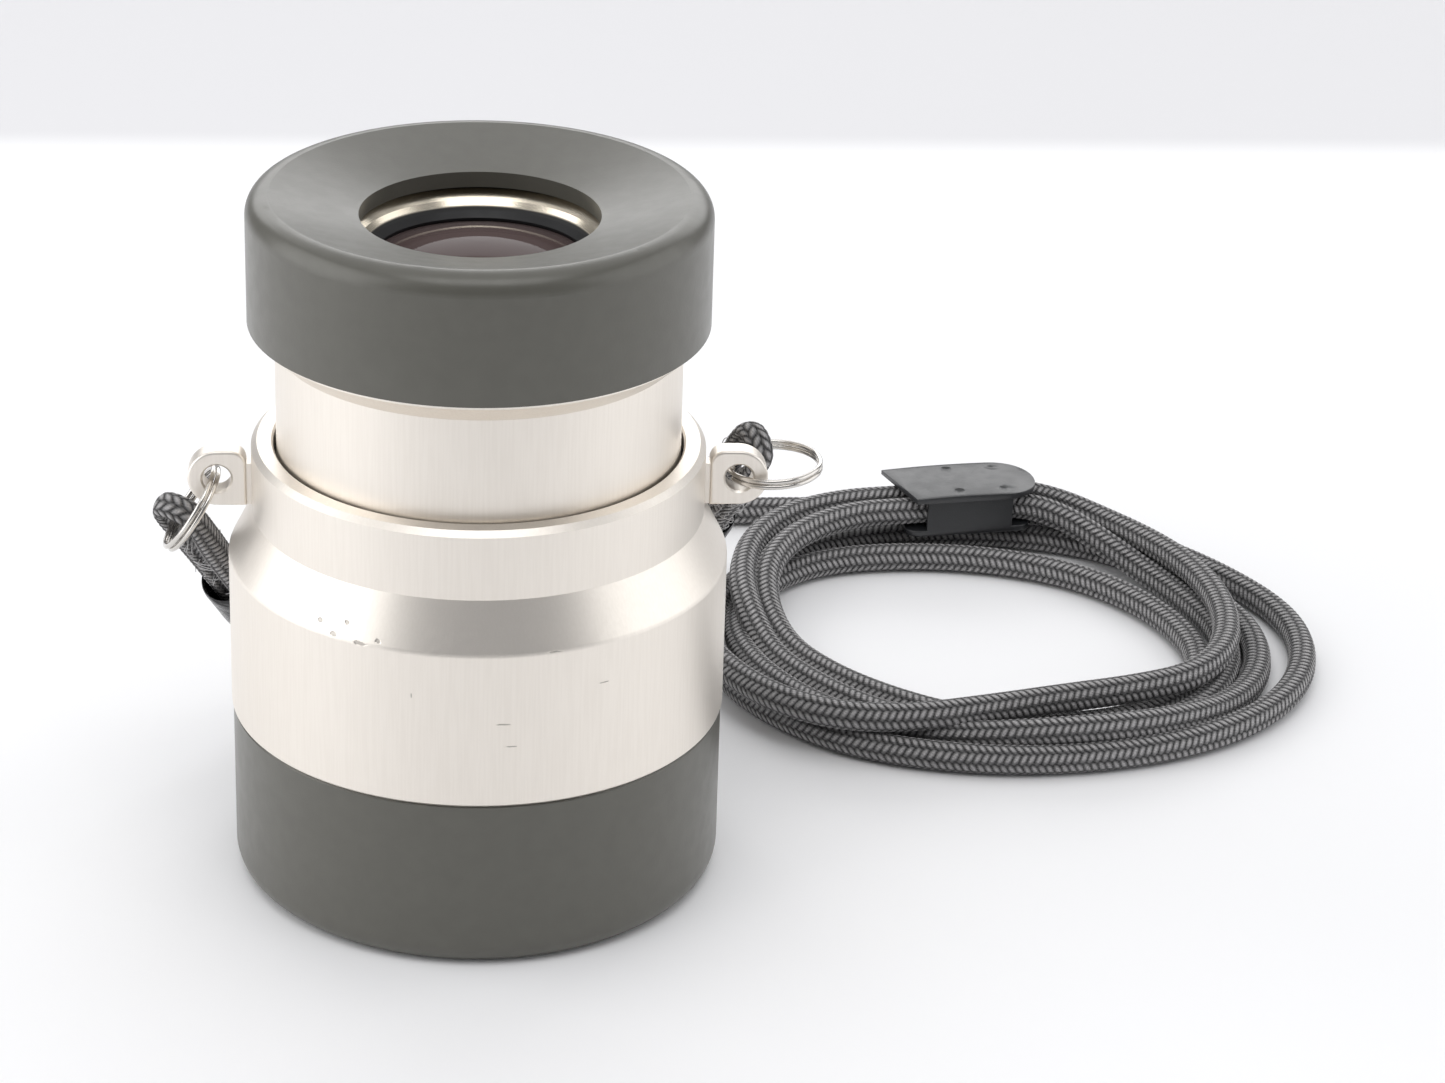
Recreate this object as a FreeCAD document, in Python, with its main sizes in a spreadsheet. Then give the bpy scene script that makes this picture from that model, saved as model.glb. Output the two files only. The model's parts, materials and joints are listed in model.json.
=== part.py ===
import FreeCAD, Part
import math
import os
import re

import Sketcher
from FreeCAD import Placement, Rotation, Vector

# A focusing stand loupe with a neck cord, in millimetres. The loupe stands on
# z = 0 with its optical axis on Z, and its two cord lugs lie on the X axis.

SIZES = [
    # foot, tube and collar
    ("barrel_radius", 24.9, "outside of the barrel"),
    ("barrel_gap", 0.37, "barrel to collar"),
    ("collar_wall", 2.73, "wall of the collar"),
    ("flange_proud", 1.7, "helicoid's bore beyond the barrel"),
    ("screw_wall", 1.8, "wall of the helicoid ring"),
    ("tube_wall", 2.6, "wall of the tube"),
    ("skirt_step", 0.2, "foot stands in from the tube"),
    ("spigot_wall", 2.4, "wall of the foot in the tube"),
    ("neck_step", 0.9, "collar's screw thread in from its outside"),
    ("skirt_top", 22.4, "where the foot meets the tube"),
    ("skirt_round", 2.8, "rounding under the foot"),
    ("spigot_long", 4.0, "screwed length of foot in tube"),
    ("groove", 0.3, "chamfer each side of the joint line"),
    ("tube_long", 20.3, "tube's straight wall"),
    ("shoulder_high", 5.9, "height of the shoulder"),
    ("shoulder_round", 1.2, "rounding of the lower edge"),
    ("neck_long", 3.6, "screwed length of the collar"),
    ("collar_high", 8.8, "collar above the shoulder"),
    ("collar_bevel", 0.7, "outer bevel of the collar"),
    ("lip_bevel", 0.25, "bevel at the collar's bore"),
    ("seal_up", 3.6, "groove of the felt seal, above the shoulder"),
    ("seal_high", 3.0, "width of the felt seal"),
    ("seal_deep", 1.2, "depth of the seal's groove"),
    # focusing drive
    ("plate_thick", 2.0, "plate that holds the guide rods"),
    ("plate_web", 1.5, "between that plate's opening and a rod"),
    ("rod_radius", 1.0, "guide rod"),
    ("rod_in", 2.9, "guide rods in from the barrel's bore"),
    ("rod_proud", 3.0, "guide rods above the barrel's step"),
    ("run_gap", 0.08, "running clearance, on the radius"),
    ("end_gap", 0.1, "running clearance, end to end"),
    ("past", 1.0, "how far a cutting shape passes its work"),
    ("barrel_lift", 5.6, "barrel above the plate, at rest"),
    ("flange_high", 6.0, "threaded flange of the barrel"),
    ("barrel_wall", 2.5, "wall of the barrel's lower bore"),
    ("throat_step", 1.4, "step between the two bores"),
    ("barrel_shown", 13.0, "barrel above the collar"),
    ("cell_up", 5.7, "field lens cell above the barrel's foot"),
    ("cell_high", 7.3, "room for that cell"),
    ("clip_high", 1.0, "snap ring under the cell"),
    ("clip_deep", 0.8, "depth of the snap ring's groove"),
    # eyepiece
    ("seat_wall", 1.9, "wall of the barrel's drum under the seat"),
    ("seat_flare", 2.7, "rim of the cup seat beyond the barrel"),
    ("seat_high", 3.0, "height of the cup seat"),
    ("seat_edge", 0.5, "upright edge of its rim"),
    ("cup_step", 0.6, "eyecup beyond the seat's rim"),
    ("cup_wall", 2.4, "wall of the eyecup"),
    ("cup_high", 16.0, "height of the eyecup"),
    ("crest_in", 2.9, "crest in from the eyecup's wall"),
    ("cup_round", 2.6, "rounding of the rim"),
    ("cup_cave", 4.0, "hollow of the eyecup above the drum"),
    ("dish_fall", 2.7, "dish, from the crest to the opening"),
    ("dish_lip", 2.0, "thickness of the opening's edge"),
    ("drum_high", 6.0, "seat's drum inside the eyecup"),
    ("tower_edge", 1.65, "eye cell outside its bright edge"),
    ("tower_gap", 0.95, "eye cell to eyecup"),
    ("tower_under", 2.6, "eye cell below the opening's edge"),
    ("cell_long", 12.0, "lower tube of the eye cell"),
    ("trim_wide", 1.15, "bevel of the bright edge, across"),
    ("trim_high", 1.0, "bevel of the bright edge, up"),
    ("trim_step", 0.9, "foot of that bevel beyond the lens bore"),
    ("trim_fall", 1.1, "foot of that bevel above the black ring"),
    ("eye_radius", 13.7, "bore for the eye lenses"),
    ("eye_ledge", 1.5, "ledge under the eye lenses"),
    ("eye_floor", 1.4, "thickness of that ledge"),
    ("ring_lip", 0.8, "black ring over the lens"),
    ("ring_high", 1.4, "height of the black ring"),
    ("ring_nose", 0.7, "inner edge of the black ring, upper"),
    ("ring_lift", 0.4, "inner edge of the black ring, lower"),
    ("eye_curve", 38.0, "curvature of the upper lens"),
    ("eye_thick", 3.0, "edge of the upper lens"),
    ("glue", 0.03, "between cemented faces"),
    ("flint_high", 6.17, "edge of the lower lens"),
    ("rod_web", 2.1, "between a guide rod and the field lens"),
    ("field_edge", 2.2, "edge of the field lens"),
    ("field_curve", 48.0, "curvature of the field lens"),
    ("field_ledge", 1.2, "ledge above the field lens"),
    ("retainer_high", 1.5, "ring under the field lens"),
    # lugs and split rings
    ("lug_stand", 0.6, "lug's plate out from the collar"),
    ("lug_out", 3.6, "lug hole from the plate's inner edge"),
    ("lug_gap", 0.2, "lug above the shoulder"),
    ("lug_radius", 3.6, "round end of the lug"),
    ("lug_thick", 3.0, "thickness of the lug"),
    ("lug_neck", 2.0, "thickness of its neck"),
    ("lug_corner", 1.8, "upper inner corner"),
    ("lug_soft", 0.35, "softened edges"),
    ("flat_deep", 0.4, "depth of the collar's flat"),
    ("hole_radius", 1.75, "lug hole"),
    ("hole_bevel", 0.25, "bevel of the lug hole"),
    ("bolt_radius", 0.8, "screw that holds the lug"),
    ("bolt_head", 1.4, "its head"),
    ("bolt_sink", 0.9, "height of its head"),
    ("bolt_rise", 1.3, "screw above the lug's underside"),
    ("bolt_bite", 1.17, "screw in the lug's plate"),
    ("ring_radius", 5.8, "split ring, to the wire's middle"),
    ("ring_sag", 0.2, "wire below the middle of the hole"),
    ("ring_shift", 0.35, "right wire in from the middle of the hole"),
    ("wire_wide", 0.8, "split ring's wire"),
    ("wire_stack", 1.7, "two coils of that wire"),
    ("left_side", 17.0, "left ring, degrees behind -X"),
    ("left_drop", 55.0, "left ring, degrees down"),
    ("right_side", 30.0, "right ring, degrees behind +X"),
    ("right_drop", -2.0, "right ring, degrees down"),
    # cord and what is on it
    ("cord_thick", 4.0, "cord's diameter"),
    ("fold_squash", 1.4, "taken off two cords side by side"),
    ("fold_eye", 1.3, "eye of the fold, radius"),
    ("fold_nose", 2.6, "cord round that eye"),
    ("fold_flat", 0.2, "flat left by the fold's rounding"),
    ("fold_long", 18.0, "eye to sleeve"),
    ("sleeve_fit", 0.1, "sleeve to fold"),
    ("sleeve_wall", 0.4, "sleeve's wall"),
    ("sleeve_long", 12.0, "sleeve's length"),
    ("sleeve_end", 3.0, "solid end of the sleeve"),
    ("sleeve_gap", 0.3, "least gap between sleeve and tube"),
    ("coil_across", 76.5, "coil's middle, X"),
    ("coil_back", 56.8, "coil's middle, Y"),
    ("coil_radius", 42.6, "outside of the coil"),
    ("coil_hole", 27.0, "inside of the coil"),
    ("coil_room", 0.3, "slack between the coil's two layers"),
    ("coil_round", 1.8, "rounding of the coil"),
    ("floor_gap", 0.1, "cord above the table"),
    ("bay_long", 36.0, "gap in the coil's upper layer"),
    ("bay_room", 0.5, "that gap above the lower layer"),
    ("lock_across", 73.5, "lock's middle, X"),
    ("lock_back", 88.5, "lock's middle, Y"),
    ("lock_turn", 8.0, "lock turned about Z, degrees"),
    ("lock_gap", 0.4, "lock above the lower layer's gap"),
    ("lock_long", 19.0, "lock's base plate"),
    ("lock_round", 2.0, "corners of the base plate"),
    ("lock_room", 0.7, "room beside the two strands"),
    ("lock_plate", 0.9, "base plate's thickness"),
    ("lock_wall", 0.8, "side walls"),
    ("lock_body", 13.0, "length of the side walls"),
    ("cap_long", 22.0, "top plate"),
    ("cap_proud", 0.8, "top plate wider than the base"),
    ("cap_thick", 1.2, "thickness of the top plate"),
    ("leaf_thick", 0.3, "leaf that grips the cord"),
    ("leaf_room", 0.25, "strands to leaf"),
    ("strand_room", 0.5, "between the two strands"),
    ("strand_lift", 0.05, "strands above the base plate"),
]

# Sizes that follow from the ones above. Outward from the barrel, then upward
# from the table, then the cord and its lock.
DERIVED = {
    "collar_bore": "barrel_radius + barrel_gap",
    "collar_radius": "collar_bore + collar_wall",
    "neck_bore": "collar_radius - neck_step",
    "screw_bore": "barrel_radius + flange_proud",
    "tube_bore": "screw_bore + screw_wall",
    "tube_radius": "tube_bore + tube_wall",
    "skirt_radius": "tube_radius - skirt_step",
    "skirt_bore": "tube_bore - spigot_wall",
    "barrel_bore": "barrel_radius - barrel_wall",
    "barrel_throat": "barrel_bore - throat_step",
    "rod_ring": "barrel_bore - rod_in",
    "plate_bore": "rod_ring - rod_radius - plate_web",
    "field_radius": "rod_ring - rod_radius - rod_web",
    "seat_bore": "barrel_radius - seat_wall",
    "seat_radius": "barrel_radius + seat_flare",
    "cup_radius": "seat_radius + cup_step",
    "cup_crest": "cup_radius - crest_in",
    "eye_stop": "eye_radius - eye_ledge",
    "eye_clear": "eye_radius - ring_lip",
    "trim_inner": "eye_radius + trim_step",
    "trim_radius": "trim_inner + trim_wide",
    "tower_radius": "trim_radius + tower_edge",
    "lug_flat": "collar_radius - flat_deep",
    "lug_inner": "collar_radius + lug_stand",
    "lug_reach": "lug_inner + lug_out",
    "bolt_long": "collar_wall - end_gap + lug_stand + bolt_bite",
    "plate_foot": "skirt_top + spigot_long",
    "plate_top": "plate_foot + plate_thick",
    "shoulder_foot": "skirt_top + tube_long",
    "shoulder_top": "shoulder_foot + shoulder_high",
    "collar_top": "shoulder_top + collar_high",
    "seal_foot": "shoulder_top + seal_up",
    "lug_level": "shoulder_top + lug_gap + lug_radius",
    "barrel_foot": "plate_top + barrel_lift",
    "cell_foot": "barrel_foot + cell_up",
    "barrel_step": "cell_foot + cell_high",
    "rod_top": "barrel_step + rod_proud",
    "seat_foot": "collar_top + barrel_shown",
    "cup_foot": "seat_foot + seat_high",
    "drum_top": "cup_foot + drum_high",
    "cup_top": "cup_foot + cup_high",
    "dish_top": "cup_top - dish_fall",
    "tower_top": "dish_top - tower_under",
    "trim_foot": "tower_top - trim_high",
    "eye_ring_top": "trim_foot - trim_fall",
    "eye_edge": "eye_ring_top - ring_high",
    "flint_top": "eye_edge - eye_thick - glue",
    "eye_seat": "flint_top - flint_high",
    "tower_foot": "eye_seat - eye_floor",
    "cell_low": "tower_foot - cell_long",
    "fold_wide": "2 * cord_thick - fold_squash",
    "sleeve_bore": "fold_wide / 2 + sleeve_fit",
    "sleeve_radius": "sleeve_bore + sleeve_wall",
    "coil_high": "2 * cord_thick + coil_room",
    "bay_floor": "floor_gap + cord_thick + bay_room",
    "strand_gap": "cord_thick + strand_room",
    "lock_wide": "2 * lock_wall + strand_gap + cord_thick + lock_room",
    "cap_wide": "lock_wide + cap_proud",
    "lock_foot": "bay_floor + lock_gap",
    "lock_tunnel": "strand_lift + cord_thick + leaf_room + leaf_thick",
    "lock_roof": "lock_foot + lock_plate + lock_tunnel",
}

# Directions in which the folded cord ends leave their rings, and the routes of
# the two free stretches from the sleeves to the coil. The first point of each
# route is worked out from its sleeve.
LEFT_PULL = Vector(0.30, 0.58, -0.757)
RIGHT_PULL = Vector(-0.24, 0.60, -0.763)
LEFT_ROUTE = [
    (-24.2, 31.0, 11.1), (-19.5, 46.5, 2.1), (-11.0, 66.5, 2.1), (3.5, 85.0, 2.1),
    (24.0, 96.2, 2.1), (47.0, 98.6, 2.1), (70.0, 96.6, 2.1),
]
RIGHT_ROUTE = [
    (23.6, 35.5, 17.6), (15.5, 53.0, 2.1), (5.5, 70.5, 2.1), (11.4, 83.2, 2.1),
    (25.1, 86.1, 2.1), (35.7, 76.9, 3.0), (35.2, 62.9, 5.6),
]

doc = FreeCAD.newDocument("Loupe")
sheet = doc.addObject("Spreadsheet::Sheet", "Sizes")
for row, (alias, value, note) in enumerate(SIZES, start=1):
    sheet.set(f"A{row}", alias)
    sheet.set(f"B{row}", str(value))
    sheet.set(f"C{row}", note)
    sheet.setAlias(f"B{row}", alias)
doc.recompute()

parts = []


# ---------------------------------------------------------------- helpers


def cells(text):
    """The expression with each name turned into a cell or into what it follows from."""
    def cell(word):
        name = word.group()
        return f"({cells(DERIVED[name])})" if name in DERIVED else "Sizes." + name
    return re.sub(r"[a-z][a-z_]+", cell, str(text))


def size(text):
    """The value of an expression of sizes."""
    return float(sheet.evalExpression(cells(text)))


def sag(curve, radius):
    """How far a sphere falls from its pole to a radius."""
    return size(curve) - math.sqrt(size(curve) ** 2 - size(radius) ** 2)


def bind(item, **sizes):
    """Bind the item's properties to expressions of sizes."""
    for name, text in sizes.items():
        item.setExpression(name, cells(text))
    return item


def keep(item, name):
    """Give the finished sub-part its name and put it on the list."""
    item.Label = name
    parts.append(item)
    return item


def new_body(name):
    return doc.addObject("PartDesign::Body", name + "_body")


def new_sketch(body, name, plane="XZ_Plane"):
    sketch = body.newObject("Sketcher::SketchObject", name + "_sketch")
    face = next(f for f in body.Origin.OriginFeatures if f.Role == plane)
    sketch.AttachmentSupport = [(face, "")]
    sketch.MapMode = "FlatFace"
    return sketch


def hold(sketch, kind, first, second, text):
    """A distance between two points of a sketch, bound to an expression."""
    value = size(text)
    if abs(value) < 1e-9:
        axis = -1 if kind == "DistanceY" else -2
        sketch.addConstraint(Sketcher.Constraint("PointOnObject", *second, axis))
        return
    index = sketch.addConstraint(Sketcher.Constraint(kind, *first, *second, value))
    sketch.setExpression(f"Constraints[{index}]", cells(text))


def outline(sketch, corners):
    """A closed outline through corners given as pairs of expressions."""
    spots = [Vector(size(across), size(up), 0) for across, up in corners]
    count = len(spots)
    for i in range(count):
        sketch.addGeometry(Part.LineSegment(spots[i], spots[(i + 1) % count]), False)
    for i in range(count):
        sketch.addConstraint(Sketcher.Constraint("Coincident", i, 2, (i + 1) % count, 1))
    for i, (across, up) in enumerate(corners):
        hold(sketch, "DistanceX", (-1, 1), (i, 1), across)
        hold(sketch, "DistanceY", (-1, 1), (i, 1), up)


def turned(name, corners):
    """A body turned about Z from an outline of (radius, height) corners."""
    body = new_body(name)
    sketch = new_sketch(body, name)
    outline(sketch, corners)
    turn = body.newObject("PartDesign::Revolution", name + "_turn")
    turn.Profile = sketch
    turn.ReferenceAxis = (sketch, ["V_Axis"])
    turn.Angle = 360
    doc.recompute()
    return body


def rims(shape, radius, height):
    """The names of the edges that run round Z at a radius and a height."""
    found = []
    for i, edge in enumerate(shape.Edges, start=1):
        curve = edge.Curve
        if isinstance(curve, Part.Circle) and abs(curve.Radius - size(radius)) < 1e-4:
            if abs(edge.BoundBox.ZMin - size(height)) < 1e-4 and edge.BoundBox.ZLength < 1e-4:
                found.append(f"Edge{i}")
    return found


def soften(body, kind, radius, height, amount):
    """Round ("Fillet") or bevel ("Chamfer") the rim at a radius and a height."""
    base = body.Tip
    edges = rims(base.Shape, radius, height)
    soft = body.newObject("PartDesign::" + kind, base.Name + "_" + kind)
    soft.Base = (base, edges)
    bind(soft, **{"Radius" if kind == "Fillet" else "Size": amount})
    doc.recompute()
    return soft


def cylinder(name, radius, high, base=(0, 0, 0), along=(0, 0, 1)):
    item = doc.addObject("Part::Cylinder", name)
    bind(item, Radius=radius, Height=high)
    return place(item, base, along)


def cone(name, low, top, high, base=(0, 0, 0), along=(0, 0, 1)):
    item = doc.addObject("Part::Cone", name)
    bind(item, Radius1=low, Radius2=top, Height=high)
    return place(item, base, along)


def box(name, long, wide, high, base):
    item = doc.addObject("Part::Box", name)
    bind(item, Length=long, Width=wide, Height=high)
    return place(item, base)


def ball(name, radius, centre):
    item = doc.addObject("Part::Sphere", name)
    bind(item, Radius=radius)
    return place(item, centre)


def place(item, base, along=(0, 0, 1)):
    """Put a primitive's base point at expressions of sizes, along a direction."""
    item.Placement = Placement(Vector(), Rotation(Vector(0, 0, 1), Vector(*along)))
    for axis, text in zip("xyz", base):
        item.setExpression(f"Placement.Base.{axis}", cells(text))
    return item


def joined(name, *items):
    whole = doc.addObject("Part::MultiFuse", name)
    whole.Shapes = list(items)
    whole.Refine = True
    doc.recompute()
    return whole


def shared(name, *items):
    whole = doc.addObject("Part::MultiCommon", name)
    whole.Shapes = list(items)
    doc.recompute()
    return whole


def cut(name, base, tool):
    rest = doc.addObject("Part::Cut", name)
    rest.Base = base
    rest.Tool = tool
    doc.recompute()
    return rest


def frame_at(origin, up, side):
    """A placement with its Z along up and its X as near to side as that allows."""
    up = Vector(up).normalize()
    return Placement(origin, Rotation(Vector(side), up.cross(Vector(side)), up, "ZXY"))


# ------------------------------------------------------- foot, tube, collar


def make_skirt():
    body = turned("skirt", [
        ("skirt_bore", "0"), ("skirt_radius", "0"), ("skirt_radius", "skirt_top"),
        ("tube_bore", "skirt_top"), ("tube_bore", "skirt_top + spigot_long"),
        ("skirt_bore", "skirt_top + spigot_long"),
    ])
    soften(body, "Fillet", "skirt_radius", "0", "skirt_round")
    soften(body, "Chamfer", "skirt_radius", "skirt_top", "groove")
    soften(body, "Chamfer", "skirt_bore", "0", "groove")
    return keep(body, "base_skirt")


def make_tube():
    body = turned("tube", [
        ("tube_bore", "skirt_top"), ("tube_radius", "skirt_top"),
        ("tube_radius", "shoulder_foot"), ("collar_radius", "shoulder_top"),
        ("neck_bore", "shoulder_top"), ("neck_bore", "shoulder_top - neck_long"),
        ("tube_bore", "shoulder_top - neck_long"),
    ])
    soften(body, "Fillet", "tube_radius", "shoulder_foot", "shoulder_round")
    soften(body, "Chamfer", "tube_radius", "skirt_top", "groove")
    return keep(body, "main_tube")


def make_collar():
    groove = "collar_bore + seal_deep"
    body = turned("collar", [
        ("collar_bore", "shoulder_top - neck_long"), ("neck_bore", "shoulder_top - neck_long"),
        ("neck_bore", "shoulder_top"), ("collar_radius", "shoulder_top"),
        ("collar_radius", "collar_top"), ("collar_bore", "collar_top"),
        ("collar_bore", "seal_foot + seal_high"), (groove, "seal_foot + seal_high"),
        (groove, "seal_foot"), ("collar_bore", "seal_foot"),
    ])
    soften(body, "Chamfer", "collar_radius", "collar_top", "collar_bevel")
    soften(body, "Chamfer", "collar_bore", "collar_top", "lip_bevel")
    collar = body
    for side in (-1, 1):
        flat = box(f"flat_{side + 2}", "flat_deep + past", "lug_neck + 2 * end_gap",
                   "2 * lug_radius + 2 * end_gap",
                   ("lug_flat" if side > 0 else "-collar_radius - past",
                    "-lug_neck / 2 - end_gap", "lug_level - lug_radius - end_gap"))
        collar = cut(f"flatted_{side + 2}", collar, flat)
        collar = cut(f"bored_{side + 2}", collar, bolt_shape(f"bolt_hole_{side + 2}", side))
    return keep(collar, "collar")


def bolt_shape(name, side):
    """The screw of a lug, countersunk from inside the collar, along X."""
    level = "lug_level - lug_radius + bolt_rise"
    start = f"{side} * (collar_bore + end_gap)"
    head = cone(name + "_head", "bolt_head", "bolt_radius", "bolt_sink",
                (start, "0", level), (side, 0, 0))
    shank = cylinder(name + "_shank", "bolt_radius", "bolt_long",
                     (start, "0", level), (side, 0, 0))
    return joined(name, head, shank)


def make_lug(side):
    """A lug: a plate with a round outer end on a thinner neck, along X."""
    name = "lug_left" if side < 0 else "lug_right"
    low = "lug_level - lug_radius"
    plate = box(name + "_plate", "lug_out", "lug_thick", "2 * lug_radius",
                ("lug_inner" if side > 0 else "-lug_reach", "-lug_thick / 2", low))
    inner = size("lug_inner") * side
    face = size("lug_thick") / 2
    plate = rounded(name + "_corner", plate, size("lug_corner"),
                    lambda e: abs(e.BoundBox.XMin - inner) < 1e-4 and e.BoundBox.XLength < 1e-4
                    and e.BoundBox.ZMin > size("lug_level")
                    and e.BoundBox.YLength > face)
    nose = cylinder(name + "_nose", "lug_radius", "lug_thick",
                    (f"{side} * lug_reach", "lug_thick / 2", "lug_level"), (0, -1, 0))
    plate = joined(name + "_eye", plate, nose)
    plate = rounded(name + "_soft", plate, size("lug_soft"),
                    lambda e: abs(abs(e.BoundBox.YMin) - face) < 1e-4 and e.BoundBox.YLength < 1e-4)
    neck = box(name + "_neck", "lug_stand + flat_deep + past", "lug_neck",
               "2 * lug_radius - lug_corner",
               ("lug_flat" if side > 0 else "-lug_inner - past", "-lug_neck / 2", low))
    whole = joined(name + "_whole", plate, neck)
    hole = cylinder(name + "_hole", "hole_radius", "lug_thick + 2 * past",
                    (f"{side} * lug_reach", "lug_thick / 2 + past", "lug_level"), (0, -1, 0))
    tools = [hole, bolt_shape(name + "_thread", side)]
    for turn in (-1, 1):
        tools.append(cone(f"{name}_bevel_{turn + 2}", "hole_radius + hole_bevel", "hole_radius",
                          "hole_bevel", (f"{side} * lug_reach", f"{turn} * lug_thick / 2",
                                         "lug_level"), (0, -turn, 0)))
    keep(cut(name + "_bored", whole, joined(name + "_tools", *tools)), name)
    keep(bolt_shape(name + "_screw", side), name.replace("lug", "lug_screw"))


def rounded(name, base, radius, wanted):
    """The shape with the wanted edges rounded."""
    doc.recompute()
    item = doc.addObject("Part::Fillet", name)
    item.Base = base
    item.Edges = [(i, radius, radius) for i, edge in enumerate(base.Shape.Edges, start=1)
                  if wanted(edge)]
    doc.recompute()
    return item


# ------------------------------------------------------------ focusing drive


def make_drive():
    plate = turned("plate", [
        ("plate_bore", "plate_foot"), ("tube_bore", "plate_foot"),
        ("tube_bore", "plate_top"), ("plate_bore", "plate_top"),
    ])
    for side in (-1, 1):
        hole = cylinder(f"rod_hole_{side + 2}", "rod_radius", "plate_thick + 2 * past",
                        ("0", f"{side} * rod_ring", "plate_foot - past"))
        plate = cut(f"plate_{side + 2}", plate, hole)
        rod = cylinder(f"rod_{side + 2}", "rod_radius", "rod_top - plate_foot",
                       ("0", f"{side} * rod_ring", "plate_foot"))
        keep(rod, "guide_rod_front" if side < 0 else "guide_rod_back")
    keep(plate, "rod_plate")
    keep(turned("helicoid", [
        ("screw_bore", "plate_top"), ("tube_bore", "plate_top"),
        ("tube_bore", "shoulder_top - neck_long"), ("screw_bore", "shoulder_top - neck_long"),
    ]), "helicoid_ring")
    keep(turned("seal", [
        ("barrel_radius + run_gap", "seal_foot"),
        ("collar_bore + seal_deep", "seal_foot"),
        ("collar_bore + seal_deep", "seal_foot + seal_high"),
        ("barrel_radius + run_gap", "seal_foot + seal_high"),
    ]), "light_seal")


def make_barrel():
    clip_top = "cell_foot - end_gap"
    clip_low = "cell_foot - end_gap - clip_high"
    groove = "barrel_bore + clip_deep"
    keep(turned("barrel", [
        ("barrel_bore", "barrel_foot"), ("screw_bore - run_gap", "barrel_foot"),
        ("screw_bore - run_gap", "barrel_foot + flange_high"),
        ("barrel_radius", "barrel_foot + flange_high"), ("barrel_radius", "seat_foot"),
        ("seat_bore", "seat_foot"), ("seat_bore", "drum_top"),
        ("barrel_throat", "drum_top"), ("barrel_throat", "barrel_step"),
        ("barrel_bore", "barrel_step"), ("barrel_bore", clip_top), (groove, clip_top),
        (groove, clip_low), ("barrel_bore", clip_low),
    ]), "focus_barrel")
    keep(turned("clip", [
        ("barrel_throat", clip_low), (groove, clip_low),
        (groove, clip_top), ("barrel_throat", clip_top),
    ]), "barrel_clip")


def make_field_cell():
    rim = "barrel_bore - run_gap"
    top = "barrel_step - end_gap"
    ledge = "field_radius - field_ledge"
    lens_low = "cell_foot + retainer_high"
    seat = sag("field_curve", "field_radius") - sag("field_curve", ledge)
    lens_top = lens_low + f" + field_edge + {2 * seat}"
    cell = turned("field", [
        ("field_radius", "cell_foot"), (rim, "cell_foot"), (rim, top),
        (ledge, top), (ledge, lens_top), ("field_radius", lens_top),
    ])
    for side in (-1, 1):
        hole = cylinder(f"cell_hole_{side + 2}", "rod_radius + run_gap", "cell_high + 2 * past",
                        ("0", f"{side} * rod_ring", "cell_foot - past"))
        cell = cut(f"cell_{side + 2}", cell, hole)
    keep(cell, "field_cell")
    keep(turned("field_ring", [
        (ledge, "cell_foot"), ("field_radius", "cell_foot"),
        ("field_radius", lens_low), (ledge, lens_low),
    ]), "field_retainer")
    middle = lens_low + f" + field_edge / 2 + {seat}"
    dome = sag("field_curve", "field_radius")
    blank = cylinder("field_blank", "field_radius", f"field_edge + {2 * dome}",
                     ("0", "0", f"{middle} - field_edge / 2 - {dome}"))
    reach = size("field_curve") - size("field_edge") / 2 - dome
    keep(shared("field_lens_body", blank,
                ball("field_low", "field_curve", ("0", "0", f"{middle} + {reach}")),
                ball("field_top", "field_curve", ("0", "0", f"{middle} - {reach}"))), "field_lens")


# ------------------------------------------------------------------ eyepiece


def make_seat():
    keep(turned("seat", [
        ("seat_bore", "seat_foot"), ("barrel_radius", "seat_foot"),
        ("seat_radius", "cup_foot - seat_edge"), ("seat_radius", "cup_foot"),
        ("cup_radius - cup_wall", "cup_foot"), ("cup_radius - cup_wall", "drum_top"),
        ("seat_bore", "drum_top"),
    ]), "cup_seat")


def make_cup():
    """The eyecup: a wall, a rounded rim and a dish that falls to the opening."""
    body = turned("cup", [
        ("cup_radius - cup_wall", "cup_foot"), ("cup_radius", "cup_foot"),
        ("cup_radius", "cup_top"), ("cup_crest", "cup_top"), ("trim_inner", "dish_top"),
        ("trim_inner", "dish_top - dish_lip"), ("tower_radius + tower_gap", "dish_top - dish_lip"),
        ("cup_radius - cup_wall", "drum_top + cup_cave"),
    ])
    soften(body, "Fillet", "cup_radius", "cup_top", "cup_round")
    keep(body, "eyecup")


def make_eye_cell():
    body = turned("eye_cell", [
        ("eye_stop", "cell_low"), ("barrel_throat", "cell_low"),
        ("barrel_throat", "tower_foot"), ("tower_radius", "tower_foot"),
        ("tower_radius", "tower_top"), ("trim_radius", "tower_top"),
        ("trim_inner", "trim_foot"), ("eye_radius", "eye_ring_top"),
        ("eye_radius", "eye_seat"), ("eye_stop", "eye_seat"),
    ])
    keep(body, "eye_cell")
    keep(turned("eye_ring", [
        ("eye_radius", "eye_edge"), ("eye_radius", "eye_ring_top"),
        ("eye_clear", "eye_edge + ring_nose"), ("eye_clear", "eye_edge + ring_lift"),
    ]), "eye_retainer")


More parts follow.
